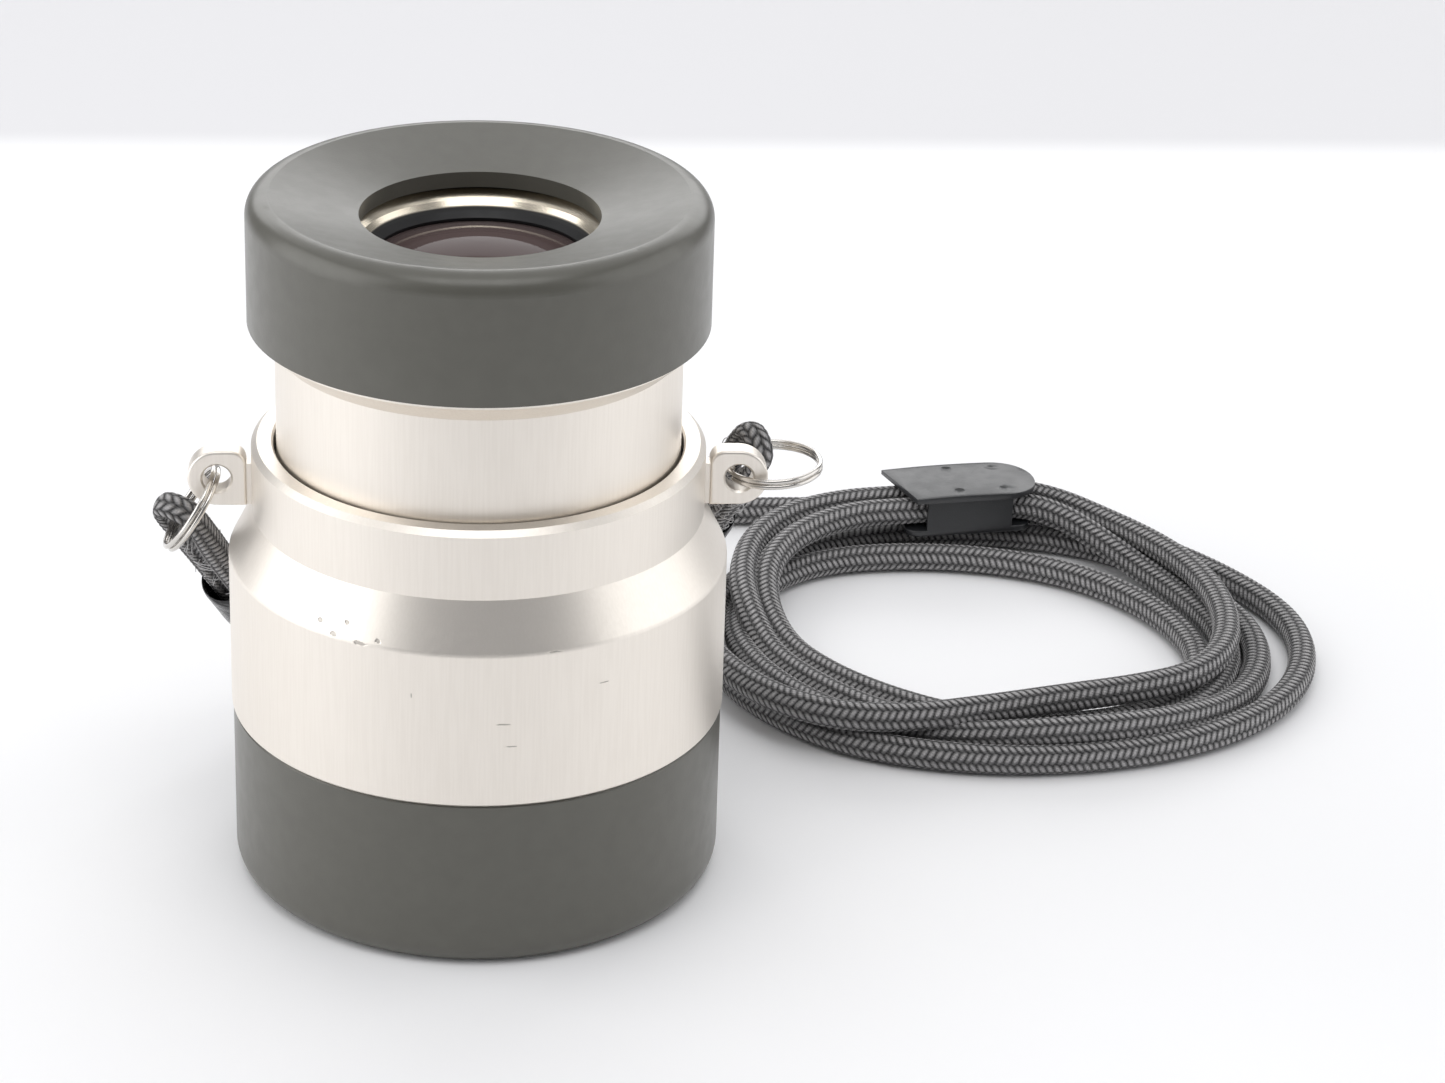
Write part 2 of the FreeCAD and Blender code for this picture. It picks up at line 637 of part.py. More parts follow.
def make_eye_lenses():
    """Two lenses: a biconvex one over a weaker one, parted by a thin spacer."""
    dome = sag("eye_curve", "eye_radius")
    low = "eye_edge - eye_thick"
    upper = shared(
        "upper_lens_body",
        cylinder("upper_blank", "eye_radius", f"eye_thick + {2 * dome}", ("0", "0", f"{low} - {dome}")),
        ball("upper_top", "eye_curve", ("0", "0", f"eye_edge + {dome} - eye_curve")),
        ball("upper_low", "eye_curve", ("0", "0", f"{low} - {dome} + eye_curve")))
    keep(upper, "eye_lens_upper")
    blank = cylinder("lower_blank", "eye_radius", "flint_high", ("0", "0", "eye_seat"))
    hollow = ball("lower_top", "eye_curve + glue", ("0", "0", f"{low} - {dome} + eye_curve"))
    keep(cut("lower_lens_body", blank, hollow), "eye_lens_lower")


# --------------------------------------------------------------- split rings


def lean(side, drop, turn):
    """The way from a lug hole to its ring's middle."""
    side, drop = math.radians(size(side)), math.radians(size(drop))
    return Vector(turn * math.cos(side) * math.cos(drop),
                  math.sin(side) * math.cos(drop), -math.sin(drop))


class Ring:
    """Where a split ring lies, and where the folded cord hangs on it."""

    def __init__(self, turn, way, shift, pull):
        hole = Vector(turn * size("lug_reach") - shift, 0, size("lug_level - ring_sag"))
        self.middle = hole + way * size("ring_radius")
        along = (Vector(0, 1, 0) - way * way.y).normalize()
        self.axis = way.cross(along).normalize()
        self.pull = Vector(pull).normalize()
        flat = (self.pull - self.axis * self.pull.dot(self.axis)).normalize()
        self.hang = self.middle + flat * size("ring_radius")
        self.tangent = self.axis.cross(flat)
        while self.gap() < size("sleeve_gap"):
            self.pull = Rotation(Vector(0, 0, 1), -turn).multVec(self.pull)

    def gap(self):
        """How far the sleeve on the fold stands from the tube."""
        top = self.hang + self.pull * size("fold_long")
        end = self.hang + self.pull * size("fold_long + sleeve_long")
        middle = Part.makeLine(top, end)
        axis = Part.makeLine(Vector(), Vector(0, 0, size("shoulder_foot")))
        return middle.distToShape(axis)[0] - size("tube_radius + sleeve_radius")


def make_ring(name, ring):
    body = new_body(name)
    sketch = new_sketch(body, name)
    inner = "ring_radius - wire_wide / 2"
    outer = "ring_radius + wire_wide / 2"
    outline(sketch, [(inner, "-wire_stack / 2"), (outer, "-wire_stack / 2"),
                     (outer, "wire_stack / 2"), (inner, "wire_stack / 2")])
    turn = body.newObject("PartDesign::Revolution", name + "_turn")
    turn.Profile = sketch
    turn.ReferenceAxis = (sketch, ["V_Axis"])
    doc.recompute()
    for radius in (inner, outer):
        soften(body, "Fillet", radius, "wire_stack / 2", "wire_wide / 4")
        soften(body, "Fillet", radius, "-wire_stack / 2", "wire_wide / 4")
    body.Placement = frame_at(ring.middle, ring.axis, ring.tangent)
    keep(body, name)


# ---------------------------------------------------------------------- cord


def make_fold(name, ring):
    """The cord's end: folded through its ring, stitched flat, and its sleeve."""
    body = new_body(name)
    sketch = new_sketch(body, name)
    half = size("fold_wide") / 2
    top = half - size("fold_eye + fold_nose")
    low = size("fold_long + sleeve_long - sleeve_end")
    sketch.addGeometry(Part.LineSegment(Vector(-half, top, 0), Vector(-half, low, 0)), False)
    sketch.addGeometry(Part.LineSegment(Vector(-half, low, 0), Vector(half, low, 0)), False)
    sketch.addGeometry(Part.LineSegment(Vector(half, low, 0), Vector(half, top, 0)), False)
    sketch.addGeometry(Part.ArcOfCircle(Part.Circle(Vector(0, top, 0), Vector(0, 0, 1), half),
                                        math.pi, 2 * math.pi), False)
    sketch.addGeometry(Part.Circle(Vector(), Vector(0, 0, 1), size("fold_eye")), False)
    for first, last in ((0, 1), (1, 2)):
        sketch.addConstraint(Sketcher.Constraint("Coincident", first, 2, last, 1))
    sketch.addConstraint(Sketcher.Constraint("Tangent", 2, 2, 3, 2))
    sketch.addConstraint(Sketcher.Constraint("Tangent", 0, 1, 3, 1))
    sketch.addConstraint(Sketcher.Constraint("Coincident", 4, 3, -1, 1))
    hold(sketch, "DistanceX", (-1, 1), (2, 1), "fold_wide / 2")
    hold(sketch, "DistanceX", (0, 1), (-1, 1), "fold_wide / 2")
    hold(sketch, "DistanceY", (-1, 1), (1, 2), "fold_long + sleeve_long - sleeve_end")
    hold(sketch, "DistanceY", (3, 3), (-1, 1), f"{-top}")
    index = sketch.addConstraint(Sketcher.Constraint("Radius", 4, size("fold_eye")))
    sketch.setExpression(f"Constraints[{index}]", cells("fold_eye"))
    pad = body.newObject("PartDesign::Pad", name + "_pad")
    pad.Profile = sketch
    bind(pad, Length="cord_thick")
    pad.Midplane = True
    doc.recompute()
    eye = size("fold_eye")
    long_edges = [f"Edge{i}" for i, e in enumerate(pad.Shape.Edges, start=1)
                  if e.BoundBox.YLength < 1e-4 and e.BoundBox.ZMax > eye + 1e-3
                  and e.BoundBox.ZLength > 1e-3]
    nose_edges = [f"Edge{i}" for i, e in enumerate(pad.Shape.Edges, start=1)
                  if e.BoundBox.YLength < 1e-4 and e.BoundBox.ZMin < -eye - 1e-3]
    soft = body.newObject("PartDesign::Fillet", name + "_soft")
    soft.Base = (pad, sorted(set(long_edges + nose_edges)))
    bind(soft, Radius="cord_thick / 2 - fold_flat")
    doc.recompute()
    spot = frame_at(ring.hang, ring.pull, ring.pull.cross(ring.tangent) * -1)
    body.Placement = spot
    keep(body, name)
    return spot


def make_sleeve(name, spot):
    start, end = "fold_long", "fold_long + sleeve_long"
    body = turned(name, [
        ("sleeve_bore", start), ("sleeve_radius", start),
        ("sleeve_radius", end), ("cord_thick / 2", end),
        ("cord_thick / 2", end + " - sleeve_end"),
        ("sleeve_bore", end + " - sleeve_end"),
    ])
    body.Placement = spot
    keep(body, name)


def cord_tube(name, route):
    """A tube along straight runs that are joined by tangent arcs."""
    spots = [Vector(*point) for point in route]
    edges, here, radii = [], spots[0], []
    for before, corner, after in zip(spots, spots[1:], spots[2:]):
        first, last = corner - before, after - corner
        turn = first.getAngle(last)
        back = 0.45 * min(first.Length, last.Length)
        radii.append(back / math.tan(turn / 2))
        first.normalize()
        last.normalize()
        enter, leave = corner - first * back, corner + last * back
        inward = (last - first).normalize()
        bow = corner + inward * (radii[-1] / math.cos(turn / 2) - radii[-1])
        edges.append(Part.makeLine(here, enter))
        edges.append(Part.Arc(enter, bow, leave).toShape())
        here = leave
    edges.append(Part.makeLine(here, spots[-1]))
    wire = Part.Wire(edges)
    radius = size("cord_thick") / 2
    ring = Part.Wire(Part.makeCircle(radius, spots[0], spots[1] - spots[0]))
    tube = wire.makePipeShell([ring], True, False)
    expected = math.pi * radius ** 2 * wire.Length
    print(name, "length", round(wire.Length, 1), "radii", [round(r, 1) for r in radii],
          "volume ratio", round(tube.Volume / expected, 4))
    item = doc.addObject("Part::Feature", name + "_tube")
    item.Shape = tube
    keep(item, name)


def make_coil():
    """The coil's outer shape: a flat ring with a bay in its upper layer."""
    middle = ("coil_across", "coil_back", "floor_gap")
    outside = cylinder("coil_outside", "coil_radius", "coil_high", middle)
    inside = cylinder("coil_inside", "coil_hole", "coil_high", middle)
    ring = cut("coil_ring", outside, inside)
    ring = rounded("coil_soft", ring, size("coil_round"),
                   lambda e: isinstance(e.Curve, Part.Circle))
    bay = doc.addObject("Part::Box", "coil_bay")
    bind(bay, Length="bay_long", Width="coil_radius", Height="coil_high")
    bay.Placement = lock_spot(-size("bay_long") / 2, -size("lock_wide"), size("bay_floor"))
    keep(cut("coil_bayed", ring, bay), "cord_coil")
    for turn in (-1, 1):
        strand = doc.addObject("Part::Cylinder", f"strand_{turn + 2}")
        bind(strand, Radius="cord_thick / 2", Height="bay_long")
        lift = size("lock_foot + lock_plate + strand_lift + cord_thick / 2")
        strand.Placement = lock_spot(-size("bay_long") / 2, turn * size("strand_gap") / 2, lift,
                                     Rotation(Vector(0, 0, 1), Vector(1, 0, 0)))
        keep(strand, "cord_strand_front" if turn < 0 else "cord_strand_back")


# ----------------------------------------------------------------- cord lock


def lock_spot(across, back, up, turn=Rotation()):
    """A placement in the cord lock's own frame: X along the strands it grips."""
    swing = Rotation(Vector(0, 0, 1), size("lock_turn"))
    origin = Vector(size("lock_across"), size("lock_back"), 0)
    return Placement(origin, swing).multiply(Placement(Vector(across, back, up), turn))


def lock_box(name, long, wide, high, back, up):
    item = doc.addObject("Part::Box", name)
    bind(item, Length=long, Width=wide, Height=high)
    item.Placement = lock_spot(-size(long) / 2, size(back), size(up))
    return item


def make_lock():
    plate = lock_box("lock_floor", "lock_long", "lock_wide", "lock_plate",
                     "-lock_wide / 2", "lock_foot")
    plate = rounded("lock_floor_soft", plate, size("lock_round"),
                    lambda e: e.BoundBox.ZLength > size("lock_plate") - 1e-4)
    walls = [lock_box(f"lock_wall_{i}", "lock_body", "lock_wall", "lock_tunnel", back,
                      "lock_foot + lock_plate")
             for i, back in enumerate(("-lock_wide / 2", "lock_wide / 2 - lock_wall"))]
    keep(joined("lock_base", plate, *walls), "cord_lock_base")
    nose = doc.addObject("Part::Cylinder", "cap_nose")
    bind(nose, Radius="cap_wide / 2", Height="cap_thick")
    nose.Placement = lock_spot(size("cap_long / 2 - cap_wide / 2"), 0, size("lock_roof"))
    slab = doc.addObject("Part::Box", "cap_slab")
    bind(slab, Length="cap_long - cap_wide / 2", Width="cap_wide", Height="cap_thick")
    slab.Placement = lock_spot(-size("cap_long / 2"), -size("cap_wide / 2"), size("lock_roof"))
    keep(joined("lock_cap", slab, nose), "cord_lock_cap")
    keep(lock_box("lock_leaf", "lock_body", "lock_wide - 2 * lock_wall", "leaf_thick",
                  "-lock_wide / 2 + lock_wall", "lock_roof - leaf_thick"), "cord_lock_leaf")


# -------------------------------------------------------------------- build


make_skirt()
make_tube()
make_collar()
make_lug(-1)
make_lug(1)
make_drive()
make_barrel()
make_field_cell()
make_seat()
make_cup()
make_eye_cell()
make_eye_lenses()

left = Ring(-1, lean("left_side", "left_drop", -1), 0.0, LEFT_PULL)
right = Ring(1, lean("right_side", "right_drop", 1), size("ring_shift"), RIGHT_PULL)
for word, ring, route in (("left", left, LEFT_ROUTE), ("right", right, RIGHT_ROUTE)):
    make_ring("split_ring_" + word, ring)
    spot = make_fold("cord_fold_" + word, ring)
    make_sleeve("cord_sleeve_" + word, spot)
    start = ring.hang + ring.pull * size("fold_long + sleeve_long - sleeve_end")
    cord_tube("cord_" + word, [tuple(start)] + route)
    print(word, "sleeve gap", round(ring.gap(), 2), "ring middle", ring.middle,
          "axis", ring.axis, "hang", ring.hang, "cord from", start)
make_coil()
make_lock()

doc.recompute()
for item in doc.Objects:
    if "Invalid" in item.State or "Error" in item.State:
        raise RuntimeError(f"{item.Name} failed: {item.State}")
os.makedirs("parts", exist_ok=True)
for item in parts:
    if item.Shape.isNull() or not item.Shape.isValid() or item.Shape.Volume <= 0:
        raise RuntimeError(f"{item.Label} has no valid shape")
    item.Shape.exportStep(f"parts/{item.Label}.step")
print(len(parts), "parts written")
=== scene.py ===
# %% [markdown]
# A focusing stand loupe with a neck cord, made in Blender around its CAD frame.
# The frame gives every solid at its true size, in metres, so each new piece is
# placed by the frame's own boxes and by the sizes that the maker chose.

# %% Load the frame
import json
import math

import bpy
import numpy as np
from mathutils import Matrix, Vector


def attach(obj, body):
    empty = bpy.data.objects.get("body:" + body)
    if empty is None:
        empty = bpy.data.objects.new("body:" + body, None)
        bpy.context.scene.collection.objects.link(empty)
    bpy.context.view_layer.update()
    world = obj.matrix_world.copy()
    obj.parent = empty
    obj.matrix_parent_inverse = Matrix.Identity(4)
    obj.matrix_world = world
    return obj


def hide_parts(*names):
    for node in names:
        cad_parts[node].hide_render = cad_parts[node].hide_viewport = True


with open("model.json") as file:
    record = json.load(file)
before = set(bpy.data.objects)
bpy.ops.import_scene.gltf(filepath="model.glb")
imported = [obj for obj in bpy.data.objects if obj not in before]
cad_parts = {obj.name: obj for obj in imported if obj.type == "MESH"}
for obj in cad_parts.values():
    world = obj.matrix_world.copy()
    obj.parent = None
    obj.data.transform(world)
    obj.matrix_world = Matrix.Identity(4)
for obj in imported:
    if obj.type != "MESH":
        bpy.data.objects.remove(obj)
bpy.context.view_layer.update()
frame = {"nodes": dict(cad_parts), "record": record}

nodes = frame["nodes"]
MM = 0.001

# %% [markdown]
# A camera stands where a person at a table would look down on the loupe, about
# half a metre away. A long lens keeps the rings of the body close to ellipses,
# so the top of the eyecup and the wall of the foot are both seen truly.

# %% Camera
eye_place = Vector((-7.763, -456.634, 258.247)) * MM
look_along = Vector((0.07556, 0.90200, -0.42507))
image_right = Vector((0.99714, -0.06936, 0.03007))
image_up = Vector((0.00236, 0.42613, 0.90466))
camera = bpy.data.objects.new("camera", bpy.data.cameras.new("camera"))
bpy.context.scene.collection.objects.link(camera)
camera.matrix_world = Matrix.Translation(eye_place) @ Matrix(
    (image_right, image_up, -look_along)).transposed().to_4x4()
camera.data.sensor_width = 36.0
camera.data.lens = 100.65
bpy.context.scene.camera = camera
print("camera is", round(eye_place.length, 3), "m from the foot")

# %% [markdown]
# The neck cord is a round braid 4 mm thick. It leaves the left sleeve, lies
# behind the body, goes five times round its coil and ends in the right sleeve.
# Its line is one smooth spline, because a limp cord has no corners. The points
# below are its control points, in millimetres, in the order of the cord.

# %% The cord's route
LEFT_EXIT = Vector((-29.2900, 21.1733, 24.0013))
RIGHT_EXIT = Vector((28.0070, 24.3874, 31.7030))
from_left_sleeve = [
    (-24.2, 31.0, 11.1), (-19.5, 46.5, 2.1), (-11.0, 66.5, 2.1), (3.5, 85.0, 2.1),
    (24.0, 96.2, 2.1), (47.0, 98.6, 2.1), (70.0, 96.6, 2.1),
]
outer_turn = [
    (82.0, 94.8, 2.1), (93.5, 91.0, 2.1), (103.5, 83.5, 2.1), (111.5, 73.5, 2.1),
    (117.3, 62.5, 2.1), (118.5, 51.0, 2.1), (115.2, 39.0, 2.1), (107.4, 28.9, 2.1),
    (96.5, 22.0, 2.1), (84.0, 18.4, 2.1), (71.5, 17.6, 2.1), (59.5, 19.6, 2.1),
    (48.5, 24.4, 2.1), (40.0, 33.0, 2.1), (35.0, 43.0, 2.1), (33.4, 54.0, 2.1),
    (35.2, 65.5, 2.1), (40.5, 76.0, 2.1), (49.0, 84.3, 2.1), (60.0, 88.4, 2.1),
]
second_turn = [
    (72.0, 89.9, 2.1), (84.0, 88.8, 2.1), (94.5, 84.2, 2.1), (102.8, 76.0, 2.1),
    (108.5, 66.0, 2.1), (111.8, 55.0, 2.1), (110.6, 43.5, 2.1), (105.6, 33.5, 2.6),
    (97.5, 25.7, 4.2), (87.0, 21.4, 5.1), (76.0, 20.3, 4.9), (65.5, 22.0, 3.5),
    (55.0, 26.8, 2.1), (46.0, 34.5, 2.1), (39.8, 44.5, 2.1), (37.4, 55.0, 2.1),
    (39.0, 65.5, 2.1), (44.3, 74.3, 2.1), (52.0, 79.8, 2.1), (61.0, 81.6, 2.1),
]
inner_turn = [
    (71.0, 81.4, 2.1), (81.0, 79.0, 2.1), (90.0, 74.0, 2.1), (97.0, 66.3, 2.1),
    (101.6, 57.0, 2.1), (103.0, 46.5, 2.1), (99.6, 37.0, 2.1), (92.5, 30.6, 2.1),
    (83.5, 27.4, 2.1), (73.5, 27.3, 2.1), (64.5, 30.6, 2.1), (56.6, 36.0, 2.1),
    (49.8, 42.8, 2.1), (44.5, 51.4, 2.2), (42.0, 60.8, 4.0), (42.8, 70.2, 6.0),
    (47.4, 78.2, 7.2), (55.99, 83.77, 7.95), (64.90, 85.02, 7.95), (73.81, 86.27, 7.95),
]
hidden_turn = [
    (82.73, 87.52, 7.95), (89.3, 85.4, 6.4), (95.0, 80.2, 4.2), (99.5, 75.0, 2.6),
    (104.3, 66.3, 2.1), (107.4, 56.0, 2.1), (106.6, 44.5, 2.1), (101.5, 34.0, 2.1),
    (93.5, 26.6, 2.1), (83.5, 23.2, 2.1), (73.0, 23.2, 2.1), (63.5, 26.6, 2.1),
    (54.5, 32.0, 2.1), (47.3, 39.8, 2.1), (42.0, 48.5, 2.4), (39.5, 57.0, 4.6),
    (38.8, 66.5, 6.3), (41.3, 77.3, 7.0), (47.3, 84.6, 7.6), (55.36, 88.22, 7.95),
    (64.27, 89.48, 7.95), (73.19, 90.73, 7.95),
]
top_turn = [
    (82.10, 91.98, 7.95), (88.6, 91.2, 6.8), (95.0, 86.2, 5.8), (100.6, 78.6, 5.9),
    (104.9, 69.8, 6.1), (107.1, 60.3, 6.1), (107.1, 50.5, 6.1), (104.6, 41.2, 6.2),
    (99.0, 33.9, 6.3), (90.5, 30.0, 6.5), (80.5, 27.6, 6.4), (70.0, 25.0, 6.2),
    (59.5, 22.6, 6.1), (49.3, 23.0, 6.1), (40.6, 28.2, 6.2), (34.7, 37.0, 6.2),
    (31.9, 46.5, 6.1), (32.3, 55.5, 5.9),
]
to_right_sleeve = [
    (34.6, 65.0, 5.4), (35.2, 76.9, 3.0), (25.1, 86.1, 2.1), (11.4, 83.2, 2.1),
    (5.5, 70.5, 2.1), (15.5, 53.0, 2.1), (23.6, 35.5, 17.6),
]
route = [Vector(point) * MM for point in (
    [tuple(LEFT_EXIT)] + from_left_sleeve + outer_turn + second_turn + inner_turn
    + hidden_turn + top_turn + to_right_sleeve + [tuple(RIGHT_EXIT)])]
print("route:", len(route), "points")


# %% Smooth splines
def add_spline(curve, points):
    """One open smooth spline on a curve, from its first point to its last."""
    spline = curve.splines.new("NURBS")
    spline.points.add(len(points) - 1)
    for spot, point in zip(spline.points, points):
        spot.co = (*point, 1.0)
    spline.order_u = 3
    spline.use_endpoint_u = True


def smooth_line(name, points, resolution):
    """The points of a smooth spline with these control points."""
    curve = bpy.data.curves.new(name, "CURVE")
    curve.dimensions = "3D"
    curve.resolution_u = resolution
    add_spline(curve, points)
    holder = bpy.data.objects.new(name, curve)
    mesh = bpy.data.meshes.new_from_object(holder)
    line = np.array([v.co for v in mesh.vertices], float)
    bpy.data.meshes.remove(mesh)
    bpy.data.objects.remove(holder)
    return line


# %% The cord's line
cord_line = smooth_line("cord_guide", route, 16)

# %% [markdown]
# A braided cord is a tube of yarns that cross over and under each other. The
# tube is skinned ring by ring along the line, with a map that counts how far
# round and how far along each point lies, so the braid follows every bend.

# %% Skin a tube along a line
def evenly(line, step):
    """The same line with points a step apart."""
    along = np.concatenate([[0], np.cumsum(np.linalg.norm(np.diff(line, axis=0), axis=1))])
    marks = np.linspace(0, along[-1], int(along[-1] / step) + 1)
    return np.stack([np.interp(marks, along, line[:, k]) for k in range(3)], axis=1), marks


def carried_frames(line, first_side):
    """Two directions across the line at each point, carried along without twist."""
    ahead = np.gradient(line, axis=0)
    ahead /= np.linalg.norm(ahead, axis=1)[:, None]
    side = np.array(first_side, float)
    sides = []
    for way in ahead:
        side = side - way * side.dot(way)
        side /= np.linalg.norm(side)
        sides.append(side)
    sides = np.array(sides)
    return sides, np.cross(ahead, sides)


def skin(name, line, marks, across, deep, around, lift, first_side=(0, 0, 1)):
    """A closed tube whose section is across by deep, as radii at each point."""
    sides, ups = carried_frames(line, first_side)
    turn = np.linspace(0, 2 * math.pi, around, endpoint=False)
    swell = lift(turn[None, :] / (2 * math.pi), marks[:, None])
    ring = (sides[:, None] * (np.cos(turn)[None, :] * across[:, None] * swell)[..., None]
            + ups[:, None] * (np.sin(turn)[None, :] * deep[:, None] * swell)[..., None])
    points = (line[:, None] + ring).reshape(-1, 3)
    count = len(line)
    here = np.arange(around)
    after = (here + 1) % around
    rows = np.arange(count - 1)[:, None] * around
    faces = np.stack([rows + here, rows + after, rows + around + after,
                      rows + around + here], axis=2).reshape(-1, 4).tolist()
    faces.append(list(range(around))[::-1])
    faces.append([(count - 1) * around + i for i in range(around)])
    mesh = bpy.data.meshes.new(name)
    mesh.from_pydata(points.tolist(), [], faces)
    chart = mesh.uv_layers.new(name="braid")
    low = here / around
    high = (here + 1) / around
    u = np.stack([low, high, high, low], axis=1)
    u = np.broadcast_to(u[None], (count - 1, around, 4))
    v = np.stack([marks[:-1], marks[:-1], marks[1:], marks[1:]], axis=1)
    v = np.broadcast_to(v[:, None], (count - 1, around, 4))
    values = np.zeros((len(mesh.loops), 2))
    values[:u.size] = np.stack([u.ravel(), v.ravel()], axis=1)
    chart.data.foreach_set("uv", values.ravel())
    mesh.polygons.foreach_set("use_smooth", [True] * len(mesh.polygons))
    mesh.update()
    piece = bpy.data.objects.new(name, mesh)
    bpy.context.scene.collection.objects.link(piece)
    return piece


# %% Braid the neck cord
CORD_RADIUS = 2.0 * MM
BRAID_COLUMNS = 8
STITCH = 1.0 * MM
LEAN = 0.7
AROUND = 24
FOLD_AROUND = 40


def stitch_lift(around, along):
    """How proud each stitch of the braid stands, as a share of the radius."""
    column = around * BRAID_COLUMNS
    lean = 1 - np.abs(column % 2 - 1)
    beat = (along / STITCH + LEAN * lean + 0.5 * (np.floor(column) % 2)) % 1
    middle = np.sin(math.pi * (column % 1))
    return 0.94 + 0.075 * np.sin(math.pi * beat) ** 0.8 * (0.55 + 0.45 * middle)


cord_points, cord_marks = evenly(cord_line, STITCH / 3)
radii = np.full(len(cord_points), CORD_RADIUS)
neck_cord = skin("neck_cord", cord_points, cord_marks, radii, radii, AROUND, stitch_lift)
print("neck cord:", len(neck_cord.data.polygons), "faces")

# %% [markdown]
# Each end of the cord is folded through a split ring and stitched flat, then
# held in a shrunk black sleeve. The fold is the same braid, squeezed where the
# wire pulls on it, so it is the same skin round a hairpin line.

# %% Where the rings and folds are
RING_RADIUS = 5.8 * MM


class Hanger:
    """A split ring and the folded cord that hangs on it."""

    def __init__(self, middle, axis, hang, cord_end):
        self.middle = Vector(middle) * MM
        self.axis = Vector(axis).normalized()
        self.hang = Vector(hang) * MM
        self.pull = (Vector(cord_end) * MM - self.hang).normalized()
        outward = (self.hang - self.middle).normalized()
        self.along_wire = self.axis.cross(outward).normalized()
        self.sideways = self.along_wire.cross(self.pull).normalized()
        self.thick = self.pull.cross(self.sideways).normalized()

    def at(self, side, thick, down):
        """A point on the fold, from the wire: sideways, through and down it."""
        return self.hang + (self.sideways * side + self.thick * thick + self.pull * down) * MM


left_hanger = Hanger((-35.3814, 0.9726, 47.4489), (0.830919, 0, -0.556393),
                     (-37.3922, 5.5090, 44.4459), LEFT_EXIT)
right_hanger = Hanger((36.8699, 2.8982, 52.4024), (-0.04029, 0, 0.999188),
                      (34.4877, 8.1856, 52.3064), RIGHT_EXIT)
print("fold leaves the left ring along", [round(v, 3) for v in left_hanger.pull])


# %% Fold the cord's ends
HALF_HAIRPIN = [(1.62, 26.5), (1.62, 20.0), (1.62, 13.5), (1.75, 8.0), (2.15, 4.0),
                (2.5, 1.0), (2.1, -1.5)]
HAIRPIN_NOSE = [(0.0, -2.4)]
SEWN_WIDE, LOOP_WIDE = 1.66, 1.04
SEWN_THICK, LOOP_THICK = 1.9, 1.75
LOOP_TOP, LOOP_FOOT = 1.0, 7.0


def fold(name, hanger):
    """The cord's end, folded over the wire: round where sewn, thinner in the loop."""
    other_half = [(-side, down) for side, down in reversed(HALF_HAIRPIN)]
    hairpin = [hanger.at(side, 0, down)
               for side, down in HALF_HAIRPIN + HAIRPIN_NOSE + other_half]
    line, marks = evenly(smooth_line(name, hairpin, 12), STITCH / 5)
    fall = np.array([(Vector(p) - hanger.hang).dot(hanger.pull) for p in line]) / MM
    loop = np.clip((LOOP_FOOT - fall) / (LOOP_FOOT - LOOP_TOP), 0, 1)
    wide = (SEWN_WIDE - (SEWN_WIDE - LOOP_WIDE) * loop) * MM
    thick = (SEWN_THICK - (SEWN_THICK - LOOP_THICK) * loop) * MM
    piece = skin(name, line, marks, thick, wide, FOLD_AROUND, stitch_lift, hanger.thick)
    print(name, len(piece.data.polygons), "faces")
    return piece


fold_left = fold("fold_left", left_hanger)
fold_right = fold("fold_right", right_hanger)


# %% [markdown]
# Cut yarn ends stand out of the folds, and a few turns of sewing thread hold
# the two sides together. They are hair-thin tubes, so each is one short curve
# with a round bevel, and all of a fold's threads become one mesh.

# %% Threads and loose fibres
THREAD = 0.13 * MM
SEAM_WIDE, SEAM_THICK = 3.42, 2.05
ROOT_WIDE, ROOT_THICK = 2.6, 1.5


def pick_only(piece):
    bpy.ops.object.select_all(action="DESELECT")
    piece.select_set(True)
    bpy.context.view_layer.objects.active = piece


def threads(name, strands):
    """Thin round threads through lists of points, as one mesh."""
    curve = bpy.data.curves.new(name, "CURVE")
    curve.dimensions = "3D"
    curve.bevel_depth = THREAD / 2
    curve.bevel_resolution = 0
    curve.resolution_u = 3
    for strand in strands:
        add_spline(curve, strand)
    piece = bpy.data.objects.new(name, curve)
    bpy.context.scene.collection.objects.link(piece)
    pick_only(piece)
    bpy.ops.object.convert(target="MESH")
    return bpy.context.view_layer.objects.active


def fray(hanger, dice, low, high, count, reach):
    """Cut yarn ends that stand out of a fold between two places along it."""
    strands = []
    for _ in range(count):
        down = dice.uniform(low, high)
        turn = dice.uniform(0, 2 * math.pi)
        out = Vector((math.cos(turn), math.sin(turn)))
        root = hanger.at(ROOT_WIDE * out.x, ROOT_THICK * out.y, down)
        grow = (hanger.sideways * out.x + hanger.thick * out.y) * MM
        length = dice.uniform(0.3, 1.0) * reach
        bend = hanger.pull * dice.uniform(-0.4, 1.6) * length * MM
        round_it = (hanger.sideways * -out.y + hanger.thick * out.x) * MM
        curl = round_it * dice.normal(0, 0.6) * length
        strands.append([root, root + grow * length * 0.45 + bend * 0.1,
                        root + grow * length * 0.7 + bend * 0.6 + curl * 0.5,
                        root + grow * length * 0.45 + bend + curl])
    return strands


def sewing(hanger, places):
    """Turns of thread round both sides of a fold, each a (down, slant) pair."""
    angles = [2 * math.pi * i / 12 for i in range(13)]
    return [[hanger.at(SEAM_WIDE * math.cos(angle), SEAM_THICK * math.sin(angle),
                       down + slant * math.cos(angle)) for angle in angles]
            for down, slant in places]


dice = np.random.default_rng(7)
threads_left = threads("threads_left",
                       sewing(left_hanger, [(10.6, 0.7), (11.3, -0.5), (12.1, 0.4)])
                       + fray(left_hanger, dice, 3.0, 18.5, 110, 1.5))
threads_right = threads("threads_right",
                        sewing(right_hanger, [(9.0, 0.6), (9.8, -0.4)])
                        + fray(right_hanger, dice, 2.0, 17.5, 170, 2.3))
print("threads:", len(threads_left.data.polygons), "and", len(threads_right.data.polygons))

